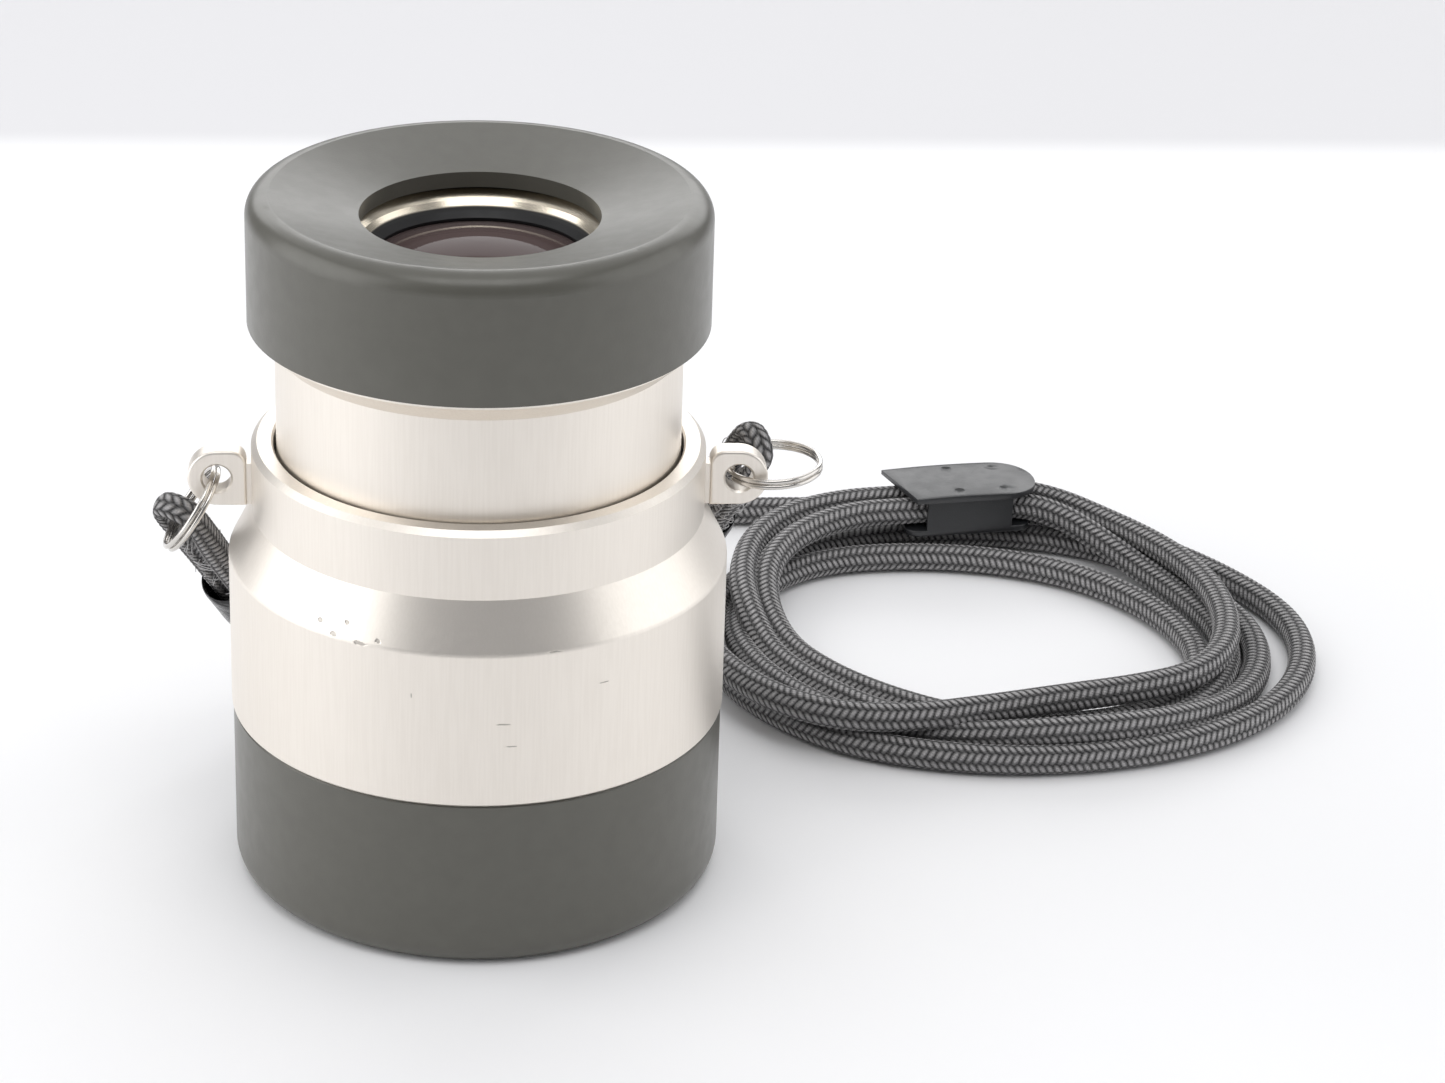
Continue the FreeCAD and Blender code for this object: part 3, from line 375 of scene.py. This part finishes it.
# %% [markdown]
# A split ring is a spring wire wound twice round, like a key ring. A small
# round section is carried round by the Screw modifier, which lifts it by a
# little more than one wire in each turn. Its two cut ends are then filled.

# %% Wind the split rings
WIRE = 0.64 * MM
PITCH = 0.70 * MM


def apply_all(piece):
    """Apply the piece's modifiers in order."""
    pick_only(piece)
    for step in list(piece.modifiers):
        bpy.ops.object.modifier_apply(modifier=step.name)


def stand_at(piece, place, turn):
    """Move a piece that was made at the origin, and keep the move in its mesh."""
    pick_only(piece)
    piece.matrix_world = Matrix.Translation(place) @ turn.to_4x4()
    bpy.ops.object.transform_apply(location=True, rotation=True, scale=True)


def split_ring(name, hanger):
    bpy.ops.object.select_all(action="DESELECT")
    bpy.ops.mesh.primitive_circle_add(vertices=14, radius=WIRE / 2, fill_type="NOTHING",
                                      location=(RING_RADIUS, 0, -PITCH),
                                      rotation=(math.pi / 2, 0, 0))
    piece = bpy.context.view_layer.objects.active
    piece.name = name
    bpy.ops.object.transform_apply(location=True, rotation=True, scale=True)
    wind = piece.modifiers.new("wind", "SCREW")
    wind.axis = "Z"
    wind.angle = 2 * math.pi
    wind.iterations = 2
    wind.screw_offset = PITCH
    wind.steps = 96
    wind.render_steps = 96
    wind.use_merge_vertices = False
    apply_all(piece)
    bpy.ops.object.mode_set(mode="EDIT")
    bpy.ops.mesh.select_mode(type="VERT")
    bpy.ops.mesh.select_all(action="SELECT")
    bpy.ops.mesh.fill_holes(sides=0)
    bpy.ops.mesh.select_all(action="SELECT")
    bpy.ops.mesh.normals_make_consistent(inside=False)
    bpy.ops.object.mode_set(mode="OBJECT")
    bpy.ops.object.shade_smooth_by_angle(angle=math.radians(40))
    side = hanger.along_wire
    turn = Matrix((side, hanger.axis.cross(side), hanger.axis)).transposed()
    stand_at(piece, hanger.middle, turn)
    print(name, len(piece.data.polygons), "faces")
    return piece


ring_left = split_ring("ring_left", left_hanger)
ring_right = split_ring("ring_right", right_hanger)

# %% [markdown]
# The two sleeves are heat-shrink tube. It is pushed over the fold and the
# cord's end and warmed until it grips them, so it narrows at its lower end and
# its lips round over. One circle is extruded and resized into that outline.

# %% Turn a round piece from an outline
def turned(name, outline, around):
    """A round piece about Z, from a closed loop of (radius, height) in millimetres."""
    first_radius, first_height = outline[0]
    bpy.ops.object.select_all(action="DESELECT")
    bpy.ops.mesh.primitive_circle_add(vertices=around, radius=first_radius * MM,
                                      fill_type="NOTHING", location=(0, 0, first_height * MM))
    piece = bpy.context.view_layer.objects.active
    piece.name = name
    bpy.ops.object.transform_apply(location=True, rotation=True, scale=True)
    bpy.ops.object.mode_set(mode="EDIT")
    bpy.ops.mesh.select_mode(type="EDGE")
    bpy.ops.mesh.select_all(action="SELECT")
    for (old, low), (new, high) in zip(outline, outline[1:]):
        bpy.ops.mesh.extrude_region_move(
            TRANSFORM_OT_translate={"value": (0, 0, (high - low) * MM)})
        bpy.ops.transform.resize(value=(new / old, new / old, 1),
                                 center_override=(0, 0, high * MM))
    bpy.ops.mesh.select_all(action="SELECT")
    bpy.ops.mesh.remove_doubles(threshold=1e-7)
    bpy.ops.mesh.normals_make_consistent(inside=False)
    bpy.ops.object.mode_set(mode="OBJECT")
    bpy.ops.object.shade_smooth_by_angle(angle=math.radians(60))
    return piece


# %% Shrink the sleeves
SLEEVE_OUTLINE = [(2.05, 30.0), (2.6, 30.15), (3.05, 29.7), (3.45, 28.6), (3.72, 27.0),
                  (3.8, 25.0), (3.78, 22.0), (3.8, 19.0), (3.74, 18.3), (3.6, 18.0),
                  (3.45, 18.15), (3.4, 18.5), (3.38, 24.0), (3.2, 26.8), (2.05, 27.2),
                  (2.05, 30.0)]


def sleeve(name, hanger):
    piece = turned(name, SLEEVE_OUTLINE, 64)
    side = hanger.sideways
    turn = Matrix((side, hanger.pull.cross(side), hanger.pull)).transposed()
    stand_at(piece, hanger.hang, turn)
    print(name, len(piece.data.polygons), "faces")
    return piece


sleeve_left = sleeve("sleeve_left", left_hanger)
sleeve_right = sleeve("sleeve_right", right_hanger)

# %% [markdown]
# The lock is moulded in two parts: a shallow channel that both strands lie in,
# and a lid that snaps on and presses the steel leaf against them. Each part
# starts as a cube, is cut or joined, and gets a soft edge.

# %% Build the lock
LOCK_SPOT = Vector((73.5, 88.5, 0)) * MM
LOCK_TURN = Matrix.Rotation(math.radians(8.0), 3, "Z")


def block(name, low, high):
    """A block between two corners, in millimetres."""
    middle = [(a + b) / 2 * MM for a, b in zip(low, high)]
    bpy.ops.object.select_all(action="DESELECT")
    bpy.ops.mesh.primitive_cube_add(size=1, location=middle)
    piece = bpy.context.view_layer.objects.active
    piece.name = name
    piece.scale = [(b - a) * MM for a, b in zip(low, high)]
    bpy.ops.object.transform_apply(location=True, rotation=True, scale=True)
    return piece


def break_edges(piece, width, segments, angle, smooth):
    """A small bevel, in millimetres, on every edge sharper than the angle."""
    edge_break = piece.modifiers.new("soft edges", "BEVEL")
    edge_break.width = width * MM
    edge_break.segments = segments
    edge_break.limit_method = "ANGLE"
    edge_break.angle_limit = math.radians(angle)
    apply_all(piece)
    bpy.ops.object.shade_smooth_by_angle(angle=math.radians(smooth))


def soften(piece, width, corner_edges=None, corner_radius=0.0):
    """Round the chosen corners, then break every sharp edge."""
    if corner_radius:
        pick_only(piece)
        bpy.ops.object.mode_set(mode="EDIT")
        bpy.ops.mesh.select_mode(type="EDGE")
        bpy.ops.mesh.select_all(action="DESELECT")
        bpy.ops.object.mode_set(mode="OBJECT")
        for edge in piece.data.edges:
            a, b = (piece.data.vertices[i].co for i in edge.vertices)
            edge.select = corner_edges(a, b)
        bpy.ops.object.mode_set(mode="EDIT")
        bpy.ops.mesh.bevel(offset=corner_radius * MM, segments=8)
        bpy.ops.object.mode_set(mode="OBJECT")
    break_edges(piece, width, 3, 40, 35)


def upright(a, b):
    return abs(a.z - b.z) > 0.3 * MM and math.hypot(a.x - b.x, a.y - b.y) < 1e-6


def combine(piece, how, *others):
    """Take other shapes out of a piece, or join them to it as one solid."""
    for other in others:
        step = piece.modifiers.new("combine", "BOOLEAN")
        step.operation = how
        step.object = other
        step.solver = "EXACT"
    apply_all(piece)
    for other in others:
        bpy.data.objects.remove(other)


FLOOR_LOW, FLOOR_TOP = 5.0, 5.9
WALL_HALF, WALL_IN, WALL_OUT, WALL_TOP = 6.5, 4.6, 5.4, 10.5
LID_HALF, LID_SIDE, LID_TOP = 11.0, 5.8, 11.7
LEAF_LOW = 10.2

lock_base = block("lock_base", (-9.5, -WALL_OUT, FLOOR_LOW), (9.5, WALL_OUT, FLOOR_TOP))
soften(lock_base, 0.16, upright, 2.0)
front_wall = block("front_wall", (-WALL_HALF, -WALL_OUT, 5.5), (WALL_HALF, -WALL_IN, WALL_TOP))
back_wall = block("back_wall", (-WALL_HALF, WALL_IN, 5.5), (WALL_HALF, WALL_OUT, WALL_TOP))
for wall in (front_wall, back_wall):
    soften(wall, 0.12)
combine(lock_base, "UNION", front_wall, back_wall)
stand_at(lock_base, LOCK_SPOT, LOCK_TURN)
print("lock base:", len(lock_base.data.polygons), "faces")

# %% Shape the lock's lid
BELLY_LOW, BELLY_SAG, BELLY_LONG, BELLY_WIDE = 11.1, 0.6, 11.5, 9.0
lock_cap = block("lock_cap", (-LID_HALF, -LID_SIDE, WALL_TOP), (LID_HALF, LID_SIDE, LID_TOP))
soften(lock_cap, 0.01, lambda a, b: upright(a, b) and a.x > 0, 5.6)
slant = block("slant", (-3.0, -12.0, 9.0), (0.0, 12.0, 13.0))
slant.location = (-9.66 * MM, 0, 0)
slant.rotation_euler = (0, 0, math.radians(13))
belly = block("belly", (-14.0, -8.0, BELLY_LOW), (14.0, 8.0, 13.5))
bpy.ops.object.mode_set(mode="EDIT")
bpy.ops.mesh.select_all(action="SELECT")
bpy.ops.mesh.subdivide(number_cuts=16)
bpy.ops.object.mode_set(mode="OBJECT")
for v in belly.data.vertices:
    if v.co.z < 12 * MM:
        v.co.z += (BELLY_SAG * MM * (1 - (v.co.x / (BELLY_LONG * MM)) ** 2)
                   * (1 - (v.co.y / (BELLY_WIDE * MM)) ** 2))
dimples = []
for x, y in ((-1.5, -4.1), (5.4, -3.9), (-1.5, 4.1), (5.4, 3.9)):
    bpy.ops.mesh.primitive_uv_sphere_add(segments=24, ring_count=12, radius=1.5 * MM,
                                         location=(x * MM, y * MM, 12.8 * MM))
    dimples.append(bpy.context.view_layer.objects.active)
combine(lock_cap, "DIFFERENCE", slant, belly, *dimples)
break_edges(lock_cap, 0.1, 2, 35, 30)
stand_at(lock_cap, LOCK_SPOT, LOCK_TURN)
lock_leaf = block("lock_leaf", (-WALL_HALF, -WALL_IN, LEAF_LOW), (WALL_HALF, WALL_IN, WALL_TOP))
soften(lock_leaf, 0.05)
stand_at(lock_leaf, LOCK_SPOT, LOCK_TURN)
print("lock lid:", len(lock_cap.data.polygons), "faces")

# %% [markdown]
# Now the finishes. Turned aluminium keeps fine lines from the tool and the
# brush, painted parts have a soft grain, and the tube has a few small nicks.
# Each effect is a node group of its own, so that several finishes can share it.

# %% Node helpers
def effect(name, outputs, inputs=()):
    """A node group with these outputs; returns its tree and its output node."""
    tree = bpy.data.node_groups.new(name, "ShaderNodeTree")
    for label, kind in inputs:
        tree.interface.new_socket(name=label, in_out="INPUT", socket_type=kind)
    for label, kind in outputs:
        tree.interface.new_socket(name=label, in_out="OUTPUT", socket_type=kind)
    return tree, tree.nodes.new("NodeGroupOutput")


def add(tree, kind, **settings):
    node = tree.nodes.new(kind)
    for key, value in settings.items():
        setattr(node, key, value)
    return node


def maths(tree, what, first, second=None, third=None):
    """A Math node whose inputs are numbers or sockets."""
    node = add(tree, "ShaderNodeMath", operation=what)
    for slot, value in zip(node.inputs, (first, second, third)):
        if value is None:
            continue
        if isinstance(value, (int, float)):
            slot.default_value = value
        else:
            tree.links.new(value, slot)
    return node.outputs[0]


def ranged(tree, value, low, high, to_low=0.0, to_high=1.0):
    """The value remapped smoothly from one range to another."""
    node = add(tree, "ShaderNodeMapRange", interpolation_type="SMOOTHSTEP")
    tree.links.new(value, node.inputs["Value"])
    for label, number in (("From Min", low), ("From Max", high), ("To Min", to_low),
                          ("To Max", to_high)):
        node.inputs[label].default_value = number
    return node.outputs["Result"]


def noise(tree, scale, detail=2.0, stretch=(1, 1, 1)):
    """Noise on the object's own coordinates, in metres."""
    where = add(tree, "ShaderNodeTexCoord")
    place = add(tree, "ShaderNodeMapping")
    place.inputs["Scale"].default_value = stretch
    grain = add(tree, "ShaderNodeTexNoise")
    grain.inputs["Scale"].default_value = scale
    grain.inputs["Detail"].default_value = detail
    tree.links.new(where.outputs["Object"], place.inputs["Vector"])
    tree.links.new(place.outputs["Vector"], grain.inputs["Vector"])
    return grain.outputs[0]


# %% Brushed lines
brushed, out = effect("brushed lines",
                      [("Shade", "NodeSocketFloat"), ("Lines", "NodeSocketFloat")])
fine = noise(brushed, 3200, 2, (1, 1, 0.04))
broad = noise(brushed, 260, 3, (1, 1, 0.5))
brushed.links.new(maths(brushed, "MULTIPLY_ADD", ranged(brushed, fine, 0.3, 0.7), 0.75,
                        maths(brushed, "MULTIPLY", broad, 0.25)), out.inputs["Shade"])
brushed.links.new(fine, out.inputs["Lines"])

# %% Soft grain
soft_grain, out = effect("soft grain",
                         [("Shade", "NodeSocketFloat"), ("Grain", "NodeSocketFloat")])
soft_grain.links.new(ranged(soft_grain, noise(soft_grain, 420, 4), 0.2, 0.8), out.inputs["Shade"])
soft_grain.links.new(noise(soft_grain, 3800, 2), out.inputs["Grain"])

# %% Small marks of use
mark, out = effect("mark", [("Inside", "NodeSocketFloat")],
                   [("Place", "NodeSocketVector"), ("Size", "NodeSocketVector")])
given = add(mark, "NodeGroupInput")
where = add(mark, "ShaderNodeTexCoord")
ragged = add(mark, "ShaderNodeTexNoise")
ragged.inputs["Scale"].default_value = 1500
mark.links.new(where.outputs["Object"], ragged.inputs["Vector"])
offset = add(mark, "ShaderNodeVectorMath", operation="SUBTRACT")
mark.links.new(where.outputs["Object"], offset.inputs[0])
mark.links.new(given.outputs["Place"], offset.inputs[1])
share = add(mark, "ShaderNodeVectorMath", operation="DIVIDE")
mark.links.new(offset.outputs[0], share.inputs[0])
mark.links.new(given.outputs["Size"], share.inputs[1])
reach = add(mark, "ShaderNodeVectorMath", operation="LENGTH")
mark.links.new(share.outputs[0], reach.inputs[0])
uneven = maths(mark, "MULTIPLY_ADD", ragged.outputs[0], 1.6, reach.outputs["Value"])
mark.links.new(ranged(mark, uneven, 1.35, 1.9, 1.0, 0.0), out.inputs["Inside"])


def marked(tree, spots):
    """The most of several marks, each a (place, size) pair in millimetres."""
    total = None
    for place, size in spots:
        spot = add(tree, "ShaderNodeGroup", node_tree=mark)
        spot.inputs["Place"].default_value = Vector(place) * MM
        spot.inputs["Size"].default_value = Vector(size) * MM
        found = spot.outputs["Inside"]
        total = found if total is None else maths(tree, "MAXIMUM", total, found)
    return total


tube_wear, out = effect("tube wear", [("Nicks", "NodeSocketFloat")])
nicks = marked(tube_wear, [
    ((-14.4, -27.4, 42.7), (0.75, 0.9, 0.30)), ((-17.6, -25.4, 43.0), (0.45, 0.7, 0.30)),
    ((-12.3, -28.2, 43.4), (0.40, 0.7, 0.28)), ((-16.0, -25.6, 44.6), (0.35, 0.7, 0.25)),
    ((-19.2, -23.6, 44.0), (0.35, 0.7, 0.25)), ((2.4, -30.9, 33.6), (0.9, 1.2, 0.13)),
    ((3.4, -30.8, 30.6), (1.0, 1.2, 0.09)), ((14.6, -27.3, 37.4), (0.8, 1.0, 0.09)),
    ((-8.4, -29.8, 37.0), (0.10, 0.8, 0.45)), ((8.6, -29.8, 42.7), (1.0, 1.0, 0.16)),
])
tube_wear.links.new(nicks, out.inputs["Nicks"])

# %% [markdown]
# A braid has columns of stitches that lean one way and then the other, so it
# looks like rows of small hearts. Where two columns meet there is a groove,
# and its shade is painted dark into the colour, while each stitch's middle is
# painted lighter as a highlight. The map on the cord counts round (U) and along
# in metres (V).

# %% Braid pattern
braid, out = effect("braid", [("Colour", "NodeSocketColor"), ("Height", "NodeSocketFloat"),
                              ("Roughness", "NodeSocketFloat")])
chart = add(braid, "ShaderNodeUVMap", uv_map="braid")
split = add(braid, "ShaderNodeSeparateXYZ")
braid.links.new(chart.outputs["UV"], split.inputs[0])
column = maths(braid, "MULTIPLY", split.outputs["X"], float(BRAID_COLUMNS))
lean = maths(braid, "PINGPONG", column, 1.0)
odd = maths(braid, "MODULO", maths(braid, "FLOOR", column), 2.0)
stitches = maths(braid, "DIVIDE", split.outputs["Y"], STITCH)
beat = maths(braid, "MULTIPLY_ADD", odd, 0.5,
             maths(braid, "MULTIPLY_ADD", lean, LEAN, stitches))
mound = maths(braid, "SINE", maths(braid, "MULTIPLY", maths(braid, "FRACT", beat), math.pi))
border = maths(braid, "PINGPONG", column, 0.5)
groove = ranged(braid, maths(braid, "MULTIPLY_ADD", mound, 0.22, border), 0.10, 0.56)
stitch = ranged(braid, mound, -0.12, 0.95)
raised = maths(braid, "MULTIPLY", groove, stitch)
yarn_run = maths(braid, "MULTIPLY_ADD", lean, -4.0, stitches)
yarn = maths(braid, "SINE", maths(braid, "MULTIPLY", yarn_run, 2 * math.pi))
fuzz = noise(braid, 2400, 3)
height = maths(braid, "ADD", maths(braid, "MULTIPLY_ADD", yarn, 0.05, raised),
               maths(braid, "MULTIPLY", fuzz, 0.3))
braid.links.new(height, out.inputs["Height"])
# The tone follows the stitch relief: painted shade in the grooves and painted highlights on the
# stitch middles, over the yarn's random fuzz.
tone_and_painted_shade = maths(braid, "MULTIPLY_ADD", fuzz, 0.4,
             maths(braid, "MULTIPLY_ADD", yarn, 0.05, maths(braid, "MULTIPLY", raised, 0.75)))
ramp = add(braid, "ShaderNodeValToRGB")
ramp.color_ramp.elements[0].position = 0.12
ramp.color_ramp.elements[0].color = (0.016, 0.016, 0.017, 1)
ramp.color_ramp.elements[1].position = 1.0
ramp.color_ramp.elements[1].color = (0.41, 0.40, 0.402, 1)
braid.links.new(tone_and_painted_shade, ramp.inputs["Fac"])
braid.links.new(ramp.outputs["Color"], out.inputs["Colour"])
braid.links.new(ranged(braid, raised, 0, 1, 0.95, 0.7), out.inputs["Roughness"])


# %% Material helpers
def finish(name, **constants):
    """A material with a Principled shader and these constants on its sockets."""
    material = bpy.data.materials.new(name)
    material.use_nodes = True
    shader = material.node_tree.nodes["Principled BSDF"]
    for label, value in constants.items():
        shader.inputs[label.replace("_", " ")].default_value = value
    return material, material.node_tree, shader


def two_colours(tree, amount, low, high):
    """A mix of two colours, each a triple or a socket, by an amount."""
    node = add(tree, "ShaderNodeMix", data_type="RGBA")
    tree.links.new(amount, node.inputs["Factor"])
    for label, colour in (("A", low), ("B", high)):
        if isinstance(colour, tuple):
            node.inputs[label].default_value = (*colour, 1)
        else:
            tree.links.new(colour, node.inputs[label])
    return next(o for o in node.outputs if o.type == "RGBA")


def relief(tree, shader, height, distance):
    """A bump from this height, in metres."""
    node = add(tree, "ShaderNodeBump")
    node.inputs["Distance"].default_value = distance
    node.inputs["Strength"].default_value = 1.0
    tree.links.new(height, node.inputs["Height"])
    tree.links.new(node.outputs["Normal"], shader.inputs["Normal"])


def grained(tree, shader, smoothest, roughest, distance, height="Grain"):
    """Roughness and a bump from the soft grain; returns its shade."""
    grain = add(tree, "ShaderNodeGroup", node_tree=soft_grain)
    tree.links.new(ranged(tree, grain.outputs["Shade"], 0, 1, smoothest, roughest),
                   shader.inputs["Roughness"])
    relief(tree, shader, grain.outputs[height], distance)
    return grain.outputs["Shade"]


# %% Satin aluminium
def satin(name, wear=False):
    material, tree, shader = finish(name, Metallic=1.0)
    lines = add(tree, "ShaderNodeGroup", node_tree=brushed)
    colour = two_colours(tree, lines.outputs["Shade"], (0.84, 0.79, 0.725), (0.87, 0.82, 0.755))
    rough = ranged(tree, lines.outputs["Shade"], 0, 1, 0.44, 0.40)
    height = lines.outputs["Lines"]
    if wear:
        nicks = add(tree, "ShaderNodeGroup", node_tree=tube_wear).outputs["Nicks"]
        colour = two_colours(tree, nicks, colour, (0.50, 0.47, 0.43))
        height = maths(tree, "MULTIPLY_ADD", nicks, -14.0, height)
    tree.links.new(colour, shader.inputs["Base Color"])
    tree.links.new(rough, shader.inputs["Roughness"])
    relief(tree, shader, height, 0.000004)
    return material


satin_metal = satin("satin aluminium")
worn_metal = satin("worn satin aluminium", wear=True)


# %% Grey-green paint
def painted(name):
    material, tree, shader = finish(name, Metallic=0.1, IOR=1.55, Coat_Weight=0.25,
                                    Coat_Roughness=0.25)
    shade = grained(tree, shader, 0.40, 0.36, 0.00001)
    tree.links.new(two_colours(tree, shade, (0.095, 0.092, 0.077), (0.103, 0.100, 0.084)),
                   shader.inputs["Base Color"])
    return material


foot_paint = painted("grey-green foot")
cup_paint = painted("grey-green eyecup")

# %% Cord, sleeves and lock
cord_finish, tree, shader = finish("braided polyester", Sheen_Weight=0.25, Sheen_Roughness=0.4)
pattern = add(tree, "ShaderNodeGroup", node_tree=braid)
# The braid colour carries painted shade in its grooves and painted highlights on its stitches.
tree.links.new(pattern.outputs["Colour"], shader.inputs["Base Color"])
tree.links.new(pattern.outputs["Roughness"], shader.inputs["Roughness"])
relief(tree, shader, pattern.outputs["Height"], 0.0005)

thread_finish = finish("polyester thread", Base_Color=(0.52, 0.515, 0.52, 1), Roughness=0.6)[0]

sleeve_finish, tree, shader = finish("shrunk sleeve", Base_Color=(0.012, 0.012, 0.013, 1))
grained(tree, shader, 0.16, 0.28, 0.0003, height="Shade")

lock_finish, tree, shader = finish("moulded black plastic", IOR=1.65,
                                   Base_Color=(0.013, 0.014, 0.016, 1))
grained(tree, shader, 0.28, 0.36, 0.00002)


# %% Plain metals
def plain_metal(name, colour, rough):
    material, tree, shader = finish(name, Metallic=1.0, Base_Color=(*colour, 1))
    grained(tree, shader, rough + 0.05, rough - 0.03, 0.000003)
    return material


nickel = plain_metal("bright nickel", (0.66, 0.635, 0.60), 0.17)
steel = plain_metal("steel", (0.56, 0.55, 0.54), 0.28)
brass = plain_metal("brass", (0.72, 0.53, 0.24), 0.30)

# %% The eye cell: bright edge, blackened bore
BORE_END, EDGE_START = 82.3 * MM, 82.6 * MM
trim_metal, tree, shader = finish("eye cell metal")
where = add(tree, "ShaderNodeTexCoord")
apart = add(tree, "ShaderNodeSeparateXYZ")
tree.links.new(where.outputs["Object"], apart.inputs[0])
bright = ranged(tree, apart.outputs["Z"], BORE_END, EDGE_START)
tree.links.new(two_colours(tree, bright, (0.012, 0.012, 0.012), (0.84, 0.76, 0.62)),
               shader.inputs["Base Color"])
tree.links.new(ranged(tree, bright, 0, 1, 0.1, 1.0), shader.inputs["Metallic"])
tree.links.new(ranged(tree, bright, 0, 1, 0.55, 0.24), shader.inputs["Roughness"])
relief(tree, shader, noise(tree, 3800, 2), 0.000004)

# %% Black metal, felt and glass
black_metal, tree, shader = finish("black anodised", Metallic=0.2,
                                   Base_Color=(0.010, 0.010, 0.011, 1))
grained(tree, shader, 0.5, 0.42, 0.00001)

felt, tree, shader = finish("black felt", Roughness=0.95, Sheen_Weight=0.3,
                            Base_Color=(0.012, 0.012, 0.012, 1))
relief(tree, shader, noise(tree, 2600, 3), 0.0003)

coated_glass, tree, shader = finish("coated glass", Roughness=0.04, IOR=1.12,
                                    Transmission_Weight=0.35)
# The glass colour is painted lighter toward grazing angles, as a painted sheen of reflection.
painted_sheen_weight = add(tree, "ShaderNodeLayerWeight")
painted_sheen_weight.inputs["Blend"].default_value = 0.4
tree.links.new(two_colours(tree, painted_sheen_weight.outputs["Facing"], (0.10, 0.064, 0.062),
                           (0.17, 0.128, 0.124)), shader.inputs["Base Color"])

# %% Give each piece its finish
finishes = {"grey_foot": foot_paint, "satin_metal": satin_metal, "steel": steel,
            "black_metal": black_metal, "brass": brass, "felt": felt, "cord": cord_finish,
            "sleeve": sleeve_finish, "glass": coated_glass, "eyecup": cup_paint,
            "nickel": nickel, "lock": lock_finish}
for part in frame["record"]["subparts"]:
    node = nodes[part["node"]]
    node.data.materials.clear()
    node.data.materials.append(finishes[part["material_slot"]])
nodes["main_tube"].data.materials[0] = worn_metal
nodes["eye_cell"].data.materials[0] = trim_metal
for piece, material in ((neck_cord, cord_finish), (fold_left, cord_finish),
                        (fold_right, cord_finish), (threads_left, thread_finish),
                        (threads_right, thread_finish), (ring_left, nickel),
                        (ring_right, nickel), (sleeve_left, sleeve_finish),
                        (sleeve_right, sleeve_finish), (lock_base, lock_finish),
                        (lock_cap, lock_finish), (lock_leaf, steel)):
    piece.data.materials.clear()
    piece.data.materials.append(material)
print("materials:", len(bpy.data.materials))

# %% [markdown]
# Each new piece takes the place of its plain solid, and moves with that
# solid's body.

# %% Put the pieces on the frame
for piece, body, slot, stands_for in (
        (neck_cord, "body", "cord",
         ("cord_left", "cord_right", "cord_coil", "cord_strand_front", "cord_strand_back")),
        (fold_left, "body", "cord", ("cord_fold_left",)),
        (fold_right, "body", "cord", ("cord_fold_right",)),
        (threads_left, "body", "cord", ()),
        (threads_right, "body", "cord", ()),
        (sleeve_left, "body", "sleeve", ("cord_sleeve_left",)),
        (sleeve_right, "body", "sleeve", ("cord_sleeve_right",)),
        (ring_left, "left_ring", "nickel", ("split_ring_left",)),
        (ring_right, "right_ring", "nickel", ("split_ring_right",)),
        (lock_base, "cord_lock", "lock", ("cord_lock_base",)),
        (lock_cap, "cord_lock", "lock", ("cord_lock_cap",)),
        (lock_leaf, "cord_lock", "steel", ("cord_lock_leaf",))):
    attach(piece, body)
    if stands_for:
        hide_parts(*stands_for)

# %% [markdown]
# The loupe stands on white ground in soft light from large white panels on both
# sides and above; well behind it the ground is painted a little greyer as shade.
# Metal shows what it mirrors, so the panels make its pale bands and the gaps
# its darker ones.

# %% Table
FAR_EDGE, EDGE_BLUR = 0.262, 0.013
bpy.ops.object.select_all(action="DESELECT")
bpy.ops.mesh.primitive_plane_add(size=8.0, location=(0, 0, 0))
floor = bpy.context.view_layer.objects.active
floor.name = "table"
white, tree, shader = finish("white table", Roughness=0.7)
where = add(tree, "ShaderNodeTexCoord")
apart = add(tree, "ShaderNodeSeparateXYZ")
tree.links.new(where.outputs["Object"], apart.inputs[0])
# Beyond FAR_EDGE the table colour turns grey: painted shade for the dimmer ground behind.
painted_back_shade = ranged(tree, apart.outputs["Y"], FAR_EDGE, FAR_EDGE + EDGE_BLUR)
tree.links.new(two_colours(tree, painted_back_shade, (0.935, 0.935, 0.945), (0.76, 0.757, 0.775)),
               shader.inputs["Base Color"])
floor.data.materials.append(white)


# %% Lights
def panel(name, place, aim, width, height, power):
    light = bpy.data.lights.new(name, "AREA")
    light.shape = "RECTANGLE"
    light.size = width
    light.size_y = height
    light.energy = power
    lamp = bpy.data.objects.new(name, light)
    lamp.location = place
    lamp.visible_camera = False
    lamp.rotation_euler = (Vector(aim) - Vector(place)).to_track_quat("-Z", "Y").to_euler()
    bpy.context.scene.collection.objects.link(lamp)


panel("overhead", (0.0, 0.35, 0.80), (0.02, 0.0, 0.03), 1.2, 0.8, 2.2)
panel("over the front", (0.0, -0.40, 1.10), (0.0, -0.1, 0.0), 1.0, 0.6, 4.3)
panel("left side", (-0.75, -0.10, 0.32), (0.0, 0.0, 0.05), 1.0, 0.8, 4.9)
panel("right side", (0.80, -0.05, 0.32), (0.0, 0.0, 0.05), 1.0, 0.8, 3.2)
panel("behind", (0.1, 1.30, 0.62), (0.02, 0.0, 0.03), 2.0, 0.6, 8.5)
world = bpy.data.worlds.new("pale room")
world.use_nodes = True
world.node_tree.nodes["Background"].inputs["Color"].default_value = (0.95, 0.96, 1.0, 1)
world.node_tree.nodes["Background"].inputs["Strength"].default_value = 0.22
bpy.context.scene.world = world
bpy.context.scene.view_settings.view_transform = "Standard"
